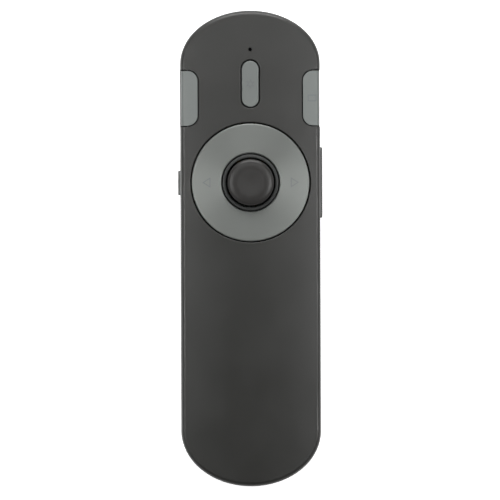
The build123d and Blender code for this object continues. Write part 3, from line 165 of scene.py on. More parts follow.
class ClickerKnob(PropertyGroup):
    """Form of the joystick's rubber knob."""

    shoulder: length_prop("Shoulder", "Width of the rounded shoulder round the dish", 2.6)
    fall: length_prop("Fall", "Height of the shoulder", 0.85)
    dish: length_prop("Dish", "Depth of the dish for the thumb", 0.2)
    heel: length_prop("Heel", "Radius of the rounding at the knob's foot", 0.45)
    seat_radius: length_prop("Seat radius", "Radius of the round hollow under the knob, at its foot", 2.5)
    seat_sphere: length_prop("Seat sphere", "Radius of the sphere that forms the hollow", 8.0)


class ClickerMarks(PropertyGroup):
    """Sizes of the generic marks on the ring and the keys."""

    arrow_length: length_prop("Arrow length", "Length of a ring arrow along its direction", 1.9)
    arrow_width: length_prop("Arrow width", "Width of a ring arrow across its direction", 2.4)
    star_radius: length_prop("Star radius", "Reach of the points of the laser key's star", 1.1)
    screen_inset: length_prop("Screen inset", "Distance of the right key's box from its outer side", 2.0)
    screen_length: length_prop("Screen length", "Length of that box along the clicker", 1.6)
    screen_width: length_prop("Screen width", "Width of that box across the clicker", 2.2)
    stroke: length_prop("Stroke", "Width of a mark's line", 0.26)
    relief: length_prop("Relief", "Height of a mark above the surface under it", 0.012)


class ClickerStudio(PropertyGroup):
    """Camera, lamps and floor."""

    camera_distance: length_prop("Camera distance", "Distance of the camera from the middle of its view",
                                 2500)
    view_width: length_prop("View width", "Width seen at the level of the key face's rim", 138.65)
    camera_x: FloatProperty(name="Camera X", description="Middle of the view, across",
                            default=-0.21 * MM, unit="LENGTH")
    camera_y: FloatProperty(name="Camera Y", description="Middle of the view, along",
                            default=-0.426 * MM, unit="LENGTH")
    camera_lean: angle_prop("Camera lean", "Angle of the camera to the left of straight above", 0.9)
    camera_roll: angle_prop("Camera roll", "Turn of the camera about its line of sight", -0.2)
    zenith: FloatProperty(name="Zenith", description="Light of the world straight above", default=0.04)
    horizon: FloatProperty(name="Horizon", description="Light of the world at eye level", default=0.25)
    backdrop: FloatProperty(name="Backdrop", description="Brightness of the world as the camera sees it",
                            default=1.0)
    floor_glow: FloatProperty(name="Floor glow", default=0.85,
                              description="Brightness that lifts the floor towards white")
    floor_drop: length_prop("Floor drop", "Gap between the case's belly and the floor", 0.05)
    side_distance: length_prop("Side distance", "Distance of the two side lamps from the clicker", 380)
    side_angle: angle_prop("Side angle", "Angle of the side lamps off the vertical", 32)
    side_length: length_prop("Side length", "Length of the side lamps along the clicker", 180)
    side_width: length_prop("Side width", "Width of the side lamps", 60)
    side_ahead: length_prop("Side ahead", "How far the side lamps' middle lies towards the nose", 10)
    nose_distance: length_prop("Nose distance", "Distance of the two nose lamps from the clicker", 500)
    nose_length: length_prop("Nose length", "Length of the nose lamps across the clicker", 400)
    brow_angle: angle_prop("Brow angle", "Angle of the steep nose lamp off the vertical", 22)
    brow_width: length_prop("Brow width", "Width of the steep nose lamp", 80)
    nose_angle: angle_prop("Nose angle", "Angle of the low nose lamp off the vertical", 55)
    nose_width: length_prop("Nose width", "Width of the low nose lamp", 200)
    left_lamp: power_prop("Left lamp", "Power of the lamp on the left", 0.52)
    right_lamp: power_prop("Right lamp", "Power of the lamp on the right", 0.6)
    brow_lamp: power_prop("Brow lamp", "Power of the steep lamp beyond the nose", 0.33)
    nose_lamp: power_prop("Nose lamp", "Power of the low lamp beyond the nose", 2.17)


# ---------------------------------------------------------------- node building
def material_with_shader(name):
    """A new material, its node tree and its Principled shader."""
    material = bpy.data.materials.new(name)
    material.use_nodes = True
    return material, material.node_tree, material.node_tree.nodes["Principled BSDF"]


def add_node(tree, kind, inputs=None, **settings):
    """A node with its settings made and its inputs set, or linked where a value is a socket."""
    node = tree.nodes.new(kind)
    for key, value in settings.items():
        setattr(node, key, value)
    for key, value in (inputs or {}).items():
        if isinstance(value, bpy.types.NodeSocket):
            tree.links.new(value, node.inputs[key])
        else:
            node.inputs[key].default_value = value
    return node


def object_place(tree):
    """The Object coordinates, which on every piece are places in the clicker's own frame."""
    return add_node(tree, "ShaderNodeTexCoord").outputs["Object"]


def moved_place(tree, origin, scale=(1, 1, 1)):
    """Object coordinates measured from an origin, then stretched."""
    shift = add_node(tree, "ShaderNodeVectorMath", {0: object_place(tree), 1: origin}, operation="SUBTRACT")
    return add_node(tree, "ShaderNodeVectorMath", {0: shift.outputs[0], 1: scale},
                    operation="MULTIPLY").outputs[0]


def noise(tree, place, feature, detail=2.0, roughness=0.5):
    """Cloudy noise whose features are about as wide as the given length."""
    return add_node(tree, "ShaderNodeTexNoise",
                    {"Vector": place, "Scale": 1 / feature, "Detail": detail,
                     "Roughness": roughness}).outputs["Fac"]


def spread(tree, value, low, high, start=0.0, end=1.0, smooth=False):
    """The value's range from start to end, laid out from low to high."""
    return add_node(tree, "ShaderNodeMapRange",
                    {"Value": value, "From Min": start, "From Max": end, "To Min": low, "To Max": high},
                    interpolation_type="SMOOTHSTEP" if smooth else "LINEAR").outputs["Result"]


def calculate(tree, operation, first, second=0.0):
    """One step of arithmetic on two values."""
    return add_node(tree, "ShaderNodeMath", {0: first, 1: second}, operation=operation).outputs[0]


def blend_colours(tree, factor, first, second):
    """The first colour at factor 0 and the second at 1."""
    def opaque(colour):
        return colour if isinstance(colour, bpy.types.NodeSocket) else (*colour, 1)
    return add_node(tree, "ShaderNodeMix", {0: factor, 6: opaque(first), 7: opaque(second)},
                    data_type="RGBA").outputs[2]


def dimmed(colour, share):
    """The colour multiplied by a share, held inside 0 to 1."""
    return tuple(min(1.0, max(0.0, c * share)) for c in colour)


def raise_relief(tree, shader, height, depth, strength=1.0):
    """Bump of the given depth on the shader's normal."""
    bump = add_node(tree, "ShaderNodeBump", {"Height": height, "Distance": depth, "Strength": strength})
    tree.links.new(bump.outputs["Normal"], shader.inputs["Normal"])


# ---------------------------------------------------------------- finishes
def moulded_plastic(name, colour, roughness, grain, depth, mottle=0.05, gloss_level=0.5, metallic=0.0):
    """Moulded plastic: eroded grain as bump, a faint cloudy tone and slightly uneven gloss."""
    material, tree, shader = material_with_shader(name)
    place = object_place(tree)
    clouds = noise(tree, place, CLOUD_WIDTH, detail=3)
    fine = noise(tree, place, grain, detail=3, roughness=0.6)
    tone = calculate(tree, "ADD", calculate(tree, "MULTIPLY", clouds, CLOUD_SHARE),
                     calculate(tree, "MULTIPLY", fine, 1 - CLOUD_SHARE))
    paint = blend_colours(tree, tone, dimmed(colour, 1 - mottle), dimmed(colour, 1 + mottle))
    tree.links.new(paint, shader.inputs["Base Color"])
    tree.links.new(spread(tree, clouds, roughness - GLOSS_SWING, roughness + GLOSS_SWING, 0.3, 0.7),
                   shader.inputs["Roughness"])
    shader.inputs["Specular IOR Level"].default_value = gloss_level
    shader.inputs["Metallic"].default_value = metallic
    raise_relief(tree, shader, fine, depth)
    return material


def painted_plastic_with_gap_shade(name, colour, roughness, grain, face_drop, spin_centre=None, metallic=0.2):
    """Silver paint on a piece of the key face, with painted shade: black far down in its gaps.

    The painted shade takes over where the piece lies deeper under the crown than its own face and
    the shade's start depth together, and stands in for the shade far down in the gaps. The skirts of
    the side keys, outside the flank's reach, are painted all the way down. With a spin centre the gloss
    is drawn out along the radius, as by a circular finish.
    """
    finishes = bpy.context.scene.clicker_finishes
    material = moulded_plastic(name, colour, roughness, grain, SATIN_RELIEF, mottle=0.03, metallic=metallic)
    tree, shader = material.node_tree, material.node_tree.nodes["Principled BSDF"]
    depth, beside = under_crown(tree)
    # Painted shade: past this depth the colour turns black and loses its metal, standing in for the shade
    # in the gaps.
    gap_shade_start = face_drop + finishes.gap_shade_depth
    gap_shade = spread(tree, depth, 0.0, 1.0, gap_shade_start, gap_shade_start + GAP_SHADE_FADE, smooth=True)
    flank_reach = cad_case_half_width - SKIRT_INSET
    # bare here is the share of painted shade, which spares the side keys' skirts.
    bare = calculate(tree, "MULTIPLY", gap_shade, calculate(tree, "LESS_THAN", beside, flank_reach))
    painted = shader.inputs["Base Color"].links[0].from_socket
    tree.links.new(blend_colours(tree, bare, painted, tuple(finishes.bare)), shader.inputs["Base Color"])
    tree.links.new(spread(tree, bare, metallic, 0.0), shader.inputs["Metallic"])
    if spin_centre is not None:
        shader.inputs["Anisotropic"].default_value = finishes.spin
        radial = moved_place(tree, spin_centre, (1, 1, 0))
        tangent = add_node(tree, "ShaderNodeVectorMath", {0: radial}, operation="NORMALIZE").outputs[0]
        tree.links.new(tangent, shader.inputs["Tangent"])
    return material


def worn_rubber(name, colour, roughness, grain, node):
    """Soft rubber of a round knob, whose shoulder the thumb has worn smoother than its dish."""
    finishes = bpy.context.scene.clicker_finishes
    material = moulded_plastic(name, colour, roughness, grain, SATIN_RELIEF, mottle=0.04, gloss_level=0.25)
    tree, shader = material.node_tree, material.node_tree.nodes["Principled BSDF"]
    low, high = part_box(node)
    dish = (high.x - low.x) / 2 - bpy.context.scene.clicker_knob.shoulder
    outwards = moved_place(tree, tuple((low + high) / 2), (1, 1, 0))
    radius = add_node(tree, "ShaderNodeVectorMath", {0: outwards}, operation="LENGTH").outputs["Value"]
    worn = spread(tree, radius, 0.0, finishes.knob_polish, dish - WEAR_FADE, dish + WEAR_FADE, smooth=True)
    uneven = shader.inputs["Roughness"].links[0].from_socket
    tree.links.new(calculate(tree, "SUBTRACT", uneven, worn), shader.inputs["Roughness"])
    return material


def under_crown(tree):
    """Depth of a place under the crowned key face, and its distance from the middle plane."""
    a, b, c, d = (float(v) for v in crown_coefficients)
    split = add_node(tree, "ShaderNodeSeparateXYZ", {0: object_place(tree)})
    x, y, z = split.outputs
    across = calculate(tree, "MULTIPLY", calculate(tree, "MULTIPLY", x, x), b)
    along = calculate(tree, "MULTIPLY", y, calculate(tree, "ADD", calculate(tree, "MULTIPLY", y, d), c))
    crown = calculate(tree, "ADD", calculate(tree, "ADD", across, along), a)
    return calculate(tree, "SUBTRACT", crown, z), calculate(tree, "ABSOLUTE", x)


def brushed_metal(name, colour, roughness, stretch, scratch=0.06 * MM):
    """Bright metal with fine marks, drawn out where the stretch is 1 and packed where it is more."""
    material, tree, shader = material_with_shader(name)
    drawn = add_node(tree, "ShaderNodeVectorMath", {0: object_place(tree), 1: stretch},
                     operation="MULTIPLY").outputs[0]
    marks = noise(tree, drawn, scratch, detail=2)
    haze = noise(tree, object_place(tree), METAL_HAZE, detail=2)
    tree.links.new(blend_colours(tree, haze, dimmed(colour, 0.9), dimmed(colour, 1.06)),
                   shader.inputs["Base Color"])
    tree.links.new(spread(tree, marks, roughness - 0.06, roughness + 0.08), shader.inputs["Roughness"])
    shader.inputs["Metallic"].default_value = 1.0
    raise_relief(tree, shader, marks, SCRATCH_RELIEF)
    return material


def clear_plastic(name, colour, roughness, wave_width=1.2 * MM):
    """Tinted clear plastic or glass, with faint flow waves left by its moulding."""
    material, tree, shader = material_with_shader(name)
    waves = noise(tree, object_place(tree), wave_width, detail=1)
    tree.links.new(blend_colours(tree, waves, dimmed(colour, 0.92), dimmed(colour, 1.08)),
                   shader.inputs["Base Color"])
    shader.inputs["Roughness"].default_value = roughness
    shader.inputs["Transmission Weight"].default_value = 0.7
    shader.inputs["IOR"].default_value = 1.49
    raise_relief(tree, shader, waves, SATIN_RELIEF, strength=0.4)
    return material


def solder_mask(name, mask, copper):
    """Circuit board: tracks and round pads that show through a green solder mask."""
    material, tree, shader = material_with_shader(name)
    place = object_place(tree)
    tracks = add_node(tree, "ShaderNodeTexVoronoi", {"Vector": place, "Scale": 1 / TRACK_SPACING},
                      voronoi_dimensions="2D", feature="DISTANCE_TO_EDGE").outputs["Distance"]
    pads = add_node(tree, "ShaderNodeTexVoronoi", {"Vector": place, "Scale": 1 / PAD_SPACING},
                    voronoi_dimensions="2D").outputs["Distance"]
    track = spread(tree, tracks, 1.0, 0.0, 0.05, 0.09, smooth=True)
    pad = spread(tree, pads, 1.0, 0.0, 0.1, 0.13, smooth=True)
    masked = blend_colours(tree, track, mask, dimmed(mask, 1.7))
    tree.links.new(blend_colours(tree, pad, masked, copper), shader.inputs["Base Color"])
    tree.links.new(pad, shader.inputs["Metallic"])
    tree.links.new(spread(tree, pad, 0.32, 0.22), shader.inputs["Roughness"])
    raise_relief(tree, shader, track, MASK_RELIEF)
    return material


def shrink_wrap(name, node, plus_forward, wrap, band, steel):
    """Battery cell: dark printed sleeve with a bright band near the plus end, and bare steel ends."""
    material, tree, shader = material_with_shader(name)
    low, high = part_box(node)
    middle = (low + high) / 2
    place = moved_place(tree, tuple(middle))
    along = add_node(tree, "ShaderNodeSeparateXYZ", {0: place}).outputs["Y"]
    across = add_node(tree, "ShaderNodeVectorMath", {0: place, 1: (1, 0, 1)},
                      operation="MULTIPLY").outputs[0]
    radius = add_node(tree, "ShaderNodeVectorMath", {0: across}, operation="LENGTH").outputs["Value"]
    towards_plus = calculate(tree, "MULTIPLY", along, 1 if plus_forward else -1)
    band_start = (high.y - low.y) / 2 - BAND_LENGTH
    in_band = spread(tree, towards_plus, 0.0, 1.0, band_start, band_start + BAND_EDGE)
    sleeve = calculate(tree, "GREATER_THAN", radius, (high.x - low.x) / 2 - SLEEVE_INSET)
    bare = calculate(tree, "SUBTRACT", 1.0, sleeve)
    haze = noise(tree, place, SLEEVE_HAZE, detail=2)
    printed = blend_colours(tree, in_band, wrap, band)
    worn = blend_colours(tree, haze, printed, steel)
    sleeve_colour = blend_colours(tree, 0.06, printed, worn)
    tree.links.new(blend_colours(tree, bare, sleeve_colour, steel), shader.inputs["Base Color"])
    tree.links.new(calculate(tree, "MAXIMUM", bare, calculate(tree, "MULTIPLY", in_band, 0.8)),
                   shader.inputs["Metallic"])
    tree.links.new(spread(tree, haze, 0.24, 0.36), shader.inputs["Roughness"])
    raise_relief(tree, shader, haze, SLEEVE_RELIEF, strength=0.5)
    return material


def fired_ceramic(name, node, body, solder):
    """Chip capacitors: tan ceramic between two soldered ends."""
    material, tree, shader = material_with_shader(name)
    low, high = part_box(node)
    place = moved_place(tree, tuple((low + high) / 2))
    across = add_node(tree, "ShaderNodeSeparateXYZ", {0: place}).outputs["X"]
    solder_start = (high.x - low.x) / 2 - SOLDER_WIDTH
    end = calculate(tree, "GREATER_THAN", calculate(tree, "ABSOLUTE", across), solder_start)
    speckle = noise(tree, place, SPECKLE_WIDTH)
    tan = blend_colours(tree, speckle, dimmed(body, 0.85), dimmed(body, 1.1))
    tree.links.new(blend_colours(tree, end, tan, solder), shader.inputs["Base Color"])
    tree.links.new(end, shader.inputs["Metallic"])
    tree.links.new(spread(tree, speckle, 0.3, 0.45), shader.inputs["Roughness"])
    return material


def dress(material, *nodes):
    """Gives the material to every slot of the named CAD pieces."""
    for name in nodes:
        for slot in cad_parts[name].material_slots:
            slot.material = material


# ---------------------------------------------------------------- surfaces
def crown_fit():
    """Coefficients of the key face's crown: height as a + b x squared + c y + d y squared.

    They are the least-squares fit through the top case's vertices that look up and lie on its face,
    taken inside the rim's rounding and outside the pockets.
    """
    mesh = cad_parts["top_case"].data
    corner_vertex = np.empty(len(mesh.loops), np.int64)
    mesh.loops.foreach_get("vertex_index", corner_vertex)
    places = np.empty(3 * len(mesh.vertices))
    mesh.vertices.foreach_get("co", places)
    places = places.reshape(-1, 3)
    triangles = corner_vertex.reshape(-1, 3)
    a, b, c = (places[triangles[:, k]] for k in range(3))
    normals = np.cross(b - a, c - a)
    area = np.linalg.norm(normals, axis=1)
    upward = normals[:, 2] / np.maximum(area, 1e-30)
    level = (a[:, 2] + b[:, 2] + c[:, 2]) / 3
    on_face = (upward > LEVEL_ENOUGH) & (level > cad_box[1][2] - CROWN_FALL)
    face = places[np.unique(triangles[on_face])]
    x, y, z = face.T
    terms = np.stack([np.ones_like(x), x**2, y, y**2], axis=1)
    return np.linalg.lstsq(terms, z, rcond=None)[0]


def crown_height(x, y):
    """Height of the crowned key face at whole arrays of places."""
    a, b, c, d = crown_coefficients
    return a + b * x**2 + c * y + d * y**2


crown_coefficients = crown_fit()
cad_case_half_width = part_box("top_case")[1].x
laser_key_drop = -0.12 * MM  # the laser key stands this far proud of the crown
side_key_drop = cad_case_half_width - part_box("right_button")[1].x  # the side keys lie this far inside it


def plan_middle(node):
    """Middle of a piece's box, seen from above."""
    low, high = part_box(node)
    return np.array((low + high) / 2)[:2]


def bore_radius(node):
    """Radius of the hole through a round piece: its vertices' least distance from its middle axis."""
    low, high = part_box(node)
    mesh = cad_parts[node].data
    places = np.empty(3 * len(mesh.vertices))
    mesh.vertices.foreach_get("co", places)
    offsets = places.reshape(-1, 3)[:, :2] - np.array((low + high) / 2)[:2]
    return float(np.linalg.norm(offsets, axis=1).min())


def closed_ribbon(corners, width):
    """Plan of a closed line of even width through the corners, as an outer and an inner loop.

    Each corner moves along the bisector of its two sides by half the width over the sine of half
    the corner's angle, forwards for one loop and backwards for the other. The bisector points out
    of a convex corner and into a concave one, so on a star the two loops change places from corner
    to corner.
    """
    before = corners - np.roll(corners, 1, axis=0)
    after = np.roll(corners, -1, axis=0) - corners
    before /= np.linalg.norm(before, axis=1, keepdims=True)
    after /= np.linalg.norm(after, axis=1, keepdims=True)
    bisector = before - after
    bisector /= np.linalg.norm(bisector, axis=1, keepdims=True)
    cosine = np.sum(-before * after, axis=1)
    half_sine = np.sqrt((1 - cosine) / 2)
    reach = width / 2 / half_sine
    return corners + bisector * reach[:, None], corners - bisector * reach[:, None]


def mesh_piece(name, vertices, face_blocks, material):
    """A new mesh object at the origin, in the clicker's frame, from blocks of like faces."""
    mesh = bpy.data.meshes.new(name)
    mesh.from_pydata(vertices.tolist(), [], [face for block in face_blocks for face in block.tolist()])
    mesh.update()
    mesh.materials.append(material)
    piece = bpy.data.objects.new(name, mesh)
    bpy.context.scene.collection.objects.link(piece)
    return piece


def turned_piece(name, profile, axis, material, steps=128):
    """A closed surface of revolution about an upright axis.

    The profile's places, each a radius and a height, start and end on the axis. A place at the
    angle a is axis x + radius times cos a, axis y + radius times sin a, and the height.
    """
    angle = 2 * np.pi * np.arange(steps) / steps
    radius, height = profile[1:-1].T
    x = axis[0] + np.outer(radius, np.cos(angle))
    y = axis[1] + np.outer(radius, np.sin(angle))
    z = np.repeat(height[:, None], steps, axis=1)
    poles = np.column_stack([np.tile(axis, (2, 1)), profile[[0, -1], 1]])
    vertices = np.concatenate([np.stack([x, y, z], axis=2).reshape(-1, 3), poles])
    i = np.arange(steps)
    j = (i + 1) % steps
    rows = steps * np.arange(len(radius) - 1)[:, None]
    sides = np.stack([rows + i, rows + steps + i, rows + steps + j, rows + j], axis=2).reshape(-1, 4)
    first_pole, last_ring = steps * len(radius), steps * (len(radius) - 1)
    top = np.stack([np.full(steps, first_pole), i, j], axis=1)
    foot = np.stack([last_ring + i, np.full(steps, first_pole + 1), last_ring + j], axis=1)
    piece = mesh_piece(name, vertices, [sides, top, foot], material)
    piece.data.shade_smooth()
    piece.data.set_sharp_from_angle(angle=SHARP_ANGLE)
    return piece


def knob_profile(knob, radius, top, foot, stem_radius, stem_top):
    """Half section of the knob: dish, shoulder, side, heel, spherical seat and the stem's bore.

    The dish is half a cosine wave, the shoulder a quarter of an ellipse and the heel a quarter circle.
    The seat is an arc of its sphere, from its radius at the foot in to the stem.
    """
    crest = radius - knob.shoulder
    share = np.linspace(0, 1, CURVE_STEPS)
    turn = share * np.pi / 2
    dish = np.stack([crest * share, top - knob.dish * (1 + np.cos(np.pi * share)) / 2], axis=1)
    shoulder = np.stack([crest + knob.shoulder * np.sin(turn),
                         top - knob.fall * (1 - np.cos(turn))], axis=1)
    heel = np.stack([radius - knob.heel * (1 - np.cos(turn)),
                     foot + knob.heel * (1 - np.sin(turn))], axis=1)
    sphere = knob.seat_sphere
    outer_tilt, inner_tilt = math.asin(knob.seat_radius / sphere), math.asin(stem_radius / sphere)
    tilt = np.linspace(outer_tilt, inner_tilt, SEAT_STEPS)
    seat = np.stack([sphere * np.sin(tilt), foot + sphere * (np.cos(tilt) - math.cos(outer_tilt))], axis=1)
    bore = [(stem_radius, stem_top), (0, stem_top)]
    return np.concatenate([dish, shoulder[1:], heel, seat, bore])


def triangle_corners(middle, way):
    """Plan of a ring arrow: a triangle about its middle that points to -X or +X."""
    marks = bpy.context.scene.clicker_marks
    half_length, half_width = marks.arrow_length / 2, marks.arrow_width / 2
    return np.array([(way * half_length, 0.0), (-way * half_length, way * half_width),
                     (-way * half_length, -way * half_width)]) + middle


def star_corners(middle, radius, points):
    """Plan of a star: corners in turn on a circle and on one of half its radius."""
    angle = np.pi * np.arange(2 * points) / points + np.pi / 2
    reach = np.where(np.arange(2 * points) % 2 == 0, radius, radius / 2)
    return np.stack([reach * np.cos(angle), reach * np.sin(angle)], axis=1) + middle


def box_corners(middle, length, width):
    """Plan of a box about its middle, with its length along Y."""
    signs = np.array([(-1, -1), (1, -1), (1, 1), (-1, 1)])
    return signs * np.array((width, length)) / 2 + middle


def ribbon_mark(name, corners, material, body, face_drop=0.0):
    """A closed ribbon through plan corners, draped over a face that lies face_drop under the crown.

    Its top follows the crown's height at every corner, raised by the marks' relief, its foot lies
    as far below the face, and side walls join the two.
    """
    marks = bpy.context.scene.clicker_marks
    outer, inner = closed_ribbon(corners, marks.stroke)
    plan = np.concatenate([outer, inner])
    count = len(corners)
    face = crown_height(plan[:, 0], plan[:, 1]) - face_drop
    top = np.column_stack([plan, face + marks.relief])
    foot = np.column_stack([plan, face - marks.relief])
    i = np.arange(count)
    j = (i + 1) % count
    loops = [i, j, j + count, i + count]
    caps = np.stack(loops, axis=1)
    walls_out = np.stack([i, i + 2 * count, j + 2 * count, j], axis=1)
    walls_in = np.stack([j, j + 2 * count, i + 2 * count, i], axis=1) + count
    faces = np.concatenate([caps, caps[:, ::-1] + 2 * count, walls_out, walls_in])
    piece = mesh_piece(name, np.concatenate([top, foot]), [faces], material)
    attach(piece, body)


# ---------------------------------------------------------------- operators
class ClickerOperator(Operator):
    """Common settings of the clicker's operators."""

    bl_options = {"REGISTER", "UNDO"}


class CLICKER_OT_housing(ClickerOperator):
    """Texture the top case, the bottom case and the battery door"""

    bl_idname = "clicker.housing"
    bl_label = "Housing"

    def execute(self, context):
        finishes = context.scene.clicker_finishes
        charcoal = moulded_plastic("charcoal_case", finishes.case, finishes.case_gloss, finishes.case_grain,
                                   ERODED_RELIEF)
        dress(charcoal, "top_case", "bottom_case", "battery_door")
        return {"FINISHED"}


class CLICKER_OT_keys(ClickerOperator):
    """Paint the laser key and the two wrap-over keys"""

    bl_idname = "clicker.keys"
    bl_label = "Keys"

    def execute(self, context):
        finishes = context.scene.clicker_finishes
        for key, face_drop in (("laser_button", laser_key_drop), ("left_button", side_key_drop),
                               ("right_button", side_key_drop)):
            # Each key's flanks far down in its gaps get painted shade.
            dress(painted_plastic_with_gap_shade(f"silver_{key}", finishes.keys, finishes.key_gloss, finishes.paint_grain,
                                  face_drop), key)
        ink = moulded_plastic("key_ink", finishes.marks, 0.5, finishes.paint_grain, INK_RELIEF)
        laser_middle = plan_middle("laser_button")
        marks = context.scene.clicker_marks
        star = star_corners(laser_middle, marks.star_radius, points=6)
        ribbon_mark("laser_star", star, ink, "laser_key", laser_key_drop)
        outer_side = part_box("right_button")[1].x
        screen_place = np.array((outer_side - marks.screen_inset, plan_middle("right_button")[1]))
        screen = box_corners(screen_place, marks.screen_length, marks.screen_width)
        ribbon_mark("screen_mark", screen, ink, "right_key", side_key_drop)
        return {"FINISHED"}


class CLICKER_OT_navigation_ring(ClickerOperator):
    """Paint the navigation ring and set its two arrows"""

    bl_idname = "clicker.navigation_ring"
    bl_label = "Navigation ring"

    def execute(self, context):
        finishes = context.scene.clicker_finishes
        middle = plan_middle("navigation_ring")
        # The ring's flanks far down in its gap get painted shade.
        silver = painted_plastic_with_gap_shade("silver_ring", finishes.ring, finishes.key_gloss, finishes.paint_grain,
                                 0.0, spin_centre=(*middle, 0.0), metallic=0.5)
        dress(silver, "navigation_ring")
        # Painted shade: the arrows' darker grey stands in for the shade in engraved grooves.
        ink = moulded_plastic("arrow_groove_shade", finishes.marks, 0.5, finishes.paint_grain, INK_RELIEF)
        low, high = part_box("navigation_ring")
        band = ((high.x - low.x) / 2 + bore_radius("navigation_ring")) / 2
        for side, name in ((-1, "ring_arrow_left"), (1, "ring_arrow_right")):
            arrow = triangle_corners(middle + (side * band, 0), side)
            ribbon_mark(name, arrow, ink, "ring")
        return {"FINISHED"}


class CLICKER_OT_joystick(ClickerOperator):
    """Finish the knob, its collar and the mechanism under it"""

    bl_idname = "clicker.joystick"
    bl_label = "Joystick"

    def execute(self, context):
        finishes = context.scene.clicker_finishes
        knob = worn_rubber("soft_knob", finishes.knob, finishes.knob_gloss, finishes.paint_grain,
                           "joystick_cap")
        low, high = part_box("joystick_cap")
        stem_low, stem_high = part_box("joystick_stem")
        profile = knob_profile(context.scene.clicker_knob, (high.x - low.x) / 2, high.z, low.z,
                               (stem_high.x - stem_low.x) / 2, stem_high.z)
        piece = turned_piece("joystick_knob", profile, plan_middle("joystick_cap"), knob)
        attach(piece, "stick")
        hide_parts("joystick_cap")
        collar = moulded_plastic("charcoal_collar", finishes.collar, finishes.case_gloss,
                                 finishes.paint_grain, SATIN_RELIEF)
        dome = moulded_plastic("dome_rubber", shade(26, 26, 26), 0.7, finishes.paint_grain, ERODED_RELIEF)
        nylon = moulded_plastic("black_nylon", shade(42, 42, 42), 0.5, finishes.case_grain, COARSE_RELIEF)
        ground = brushed_metal("ground_steel", shade(168, 168, 168), 0.28, (1, 1, 30))
        stamped = brushed_metal("black_stamped_steel", shade(40, 40, 42), 0.5, (30, 1, 1))
        dress(knob, "joystick_cap")
        dress(collar, "joystick_bezel")
        dress(dome, "joystick_dust_dome")
        dress(nylon, "ring_gimbal_hoop", "joystick_outer_gimbal", "joystick_inner_yoke")
        dress(ground, "joystick_stem", "rocker_pin")
        dress(stamped, "joystick_housing", "joystick_press_dome")
        return {"FINISHED"}


class CLICKER_OT_side_controls(ClickerOperator):
    """Finish the lock slider and the volume rocker"""

    bl_idname = "clicker.side_controls"
    bl_label = "Side controls"

    def execute(self, context):
        finishes = context.scene.clicker_finishes
        slider = moulded_plastic("slider_grey", finishes.side_controls, finishes.key_gloss,
                                 finishes.paint_grain, SATIN_RELIEF)
        rocker = moulded_plastic("rocker_grey", finishes.rocker, finishes.key_gloss,
                                 finishes.paint_grain, SATIN_RELIEF)
        dress(slider, "lock_slider")
        dress(rocker, "volume_rocker")
        return {"FINISHED"}


class CLICKER_OT_laser(ClickerOperator):
    """Finish the laser's window, lens and barrel, and the status light"""

    bl_idname = "clicker.laser"
    bl_label = "Laser and status light"

    def execute(self, context):
        finishes = context.scene.clicker_finishes
        bezel = moulded_plastic("gloss_bezel", shade(22, 22, 23), 0.16, finishes.paint_grain,
                                POLISHED_RELIEF)
        dress(bezel, "laser_bezel")
        dress(clear_plastic("laser_lens_glass", shade(190, 60, 60), 0.03), "laser_lens")
        guide = moulded_plastic("smoked_light_guide", shade(4, 4, 5), 0.3, finishes.paint_grain,
                                POLISHED_RELIEF, gloss_level=0.02)
        dress(guide, "indicator_light_pipe")
        dress(brushed_metal("turned_brass", shade(196, 164, 96), 0.26, (1, 30, 1)), "laser_barrel")
        return {"FINISHED"}


class CLICKER_OT_electronics(ClickerOperator):
    """Finish the circuit boards and the parts on them"""

    bl_idname = "clicker.electronics"
    bl_label = "Electronics"

    def execute(self, context):
        finishes = context.scene.clicker_finishes
        board = solder_mask("dark_board", shade(18, 30, 24), shade(120, 96, 56))
        epoxy = moulded_plastic("black_epoxy", shade(34, 34, 35), 0.48, finishes.paint_grain, SATIN_RELIEF)
        can = brushed_metal("tinned_can", shade(182, 183, 184), 0.32, (1, 30, 1))
        dress(board, "main_circuit_board", "laser_driver_board")
        dress(epoxy, "microcontroller", "key_switches", "ring_switches", "volume_switches",
              "lock_switch_body", "indicator_led")
        dress(can, "radio_module", "crystal")
        dress(fired_ceramic("chip_ceramic", "capacitors", shade(172, 140, 100), shade(180, 180, 180)),
              "capacitors")
        return {"FINISHED"}


class CLICKER_OT_power(ClickerOperator):
    """Finish the cells, their contacts and springs, and the screws"""

    bl_idname = "clicker.power"
    bl_label = "Power and screws"

    def execute(self, context):
        wrap, band, steel = shade(38, 40, 44), shade(190, 138, 84), shade(190, 190, 190)
        dress(shrink_wrap("cell_left_wrap", "battery_left", True, wrap, band, steel), "battery_left")
        dress(shrink_wrap("cell_right_wrap", "battery_right", False, wrap, band, steel), "battery_right")
        nickel = brushed_metal("nickel_contacts", shade(200, 198, 192), 0.24, (1, 1, 30))
        dress(nickel, "battery_spring", "battery_positive_contact", "battery_bridge_contact")
        zinc = brushed_metal("black_zinc_screws", shade(70, 70, 73), 0.36, (30, 30, 1))
        dress(zinc, "case_screws", "board_screws")
        return {"FINISHED"}


class CLICKER_OT_receiver(ClickerOperator):
    """Finish the receiver stored in the tail"""

    bl_idname = "clicker.receiver"
    bl_label = "Receiver"

    def execute(self, context):
        finishes = context.scene.clicker_finishes
        cap = moulded_plastic("receiver_black", shade(40, 40, 40), 0.44, finishes.case_grain, COARSE_RELIEF)
        tongue = moulded_plastic("tongue_white", shade(214, 213, 208), 0.4, finishes.paint_grain,
                                 SCRATCH_RELIEF)
        dress(cap, "receiver_cap")
        dress(tongue, "receiver_insulator")
        dress(brushed_metal("nickel_plug", shade(202, 203, 204), 0.2, (1, 30, 1)), "receiver_plug_shell")
        dress(brushed_metal("gold_contacts", shade(214, 178, 98), 0.24, (1, 30, 1)), "receiver_contacts")
        return {"FINISHED"}


class CLICKER_OT_stage(ClickerOperator):
    """Set the floor, the world, the lamps and the camera"""

    bl_idname = "clicker.stage"
    bl_label = "Stage"

    def execute(self, context):
        studio = context.scene.clicker_studio
        make_floor(studio)
        make_world(context.scene, studio)
        make_lamps(studio)
        make_camera(context.scene, studio)
        context.scene.view_settings.view_transform = "Standard"
        return {"FINISHED"}


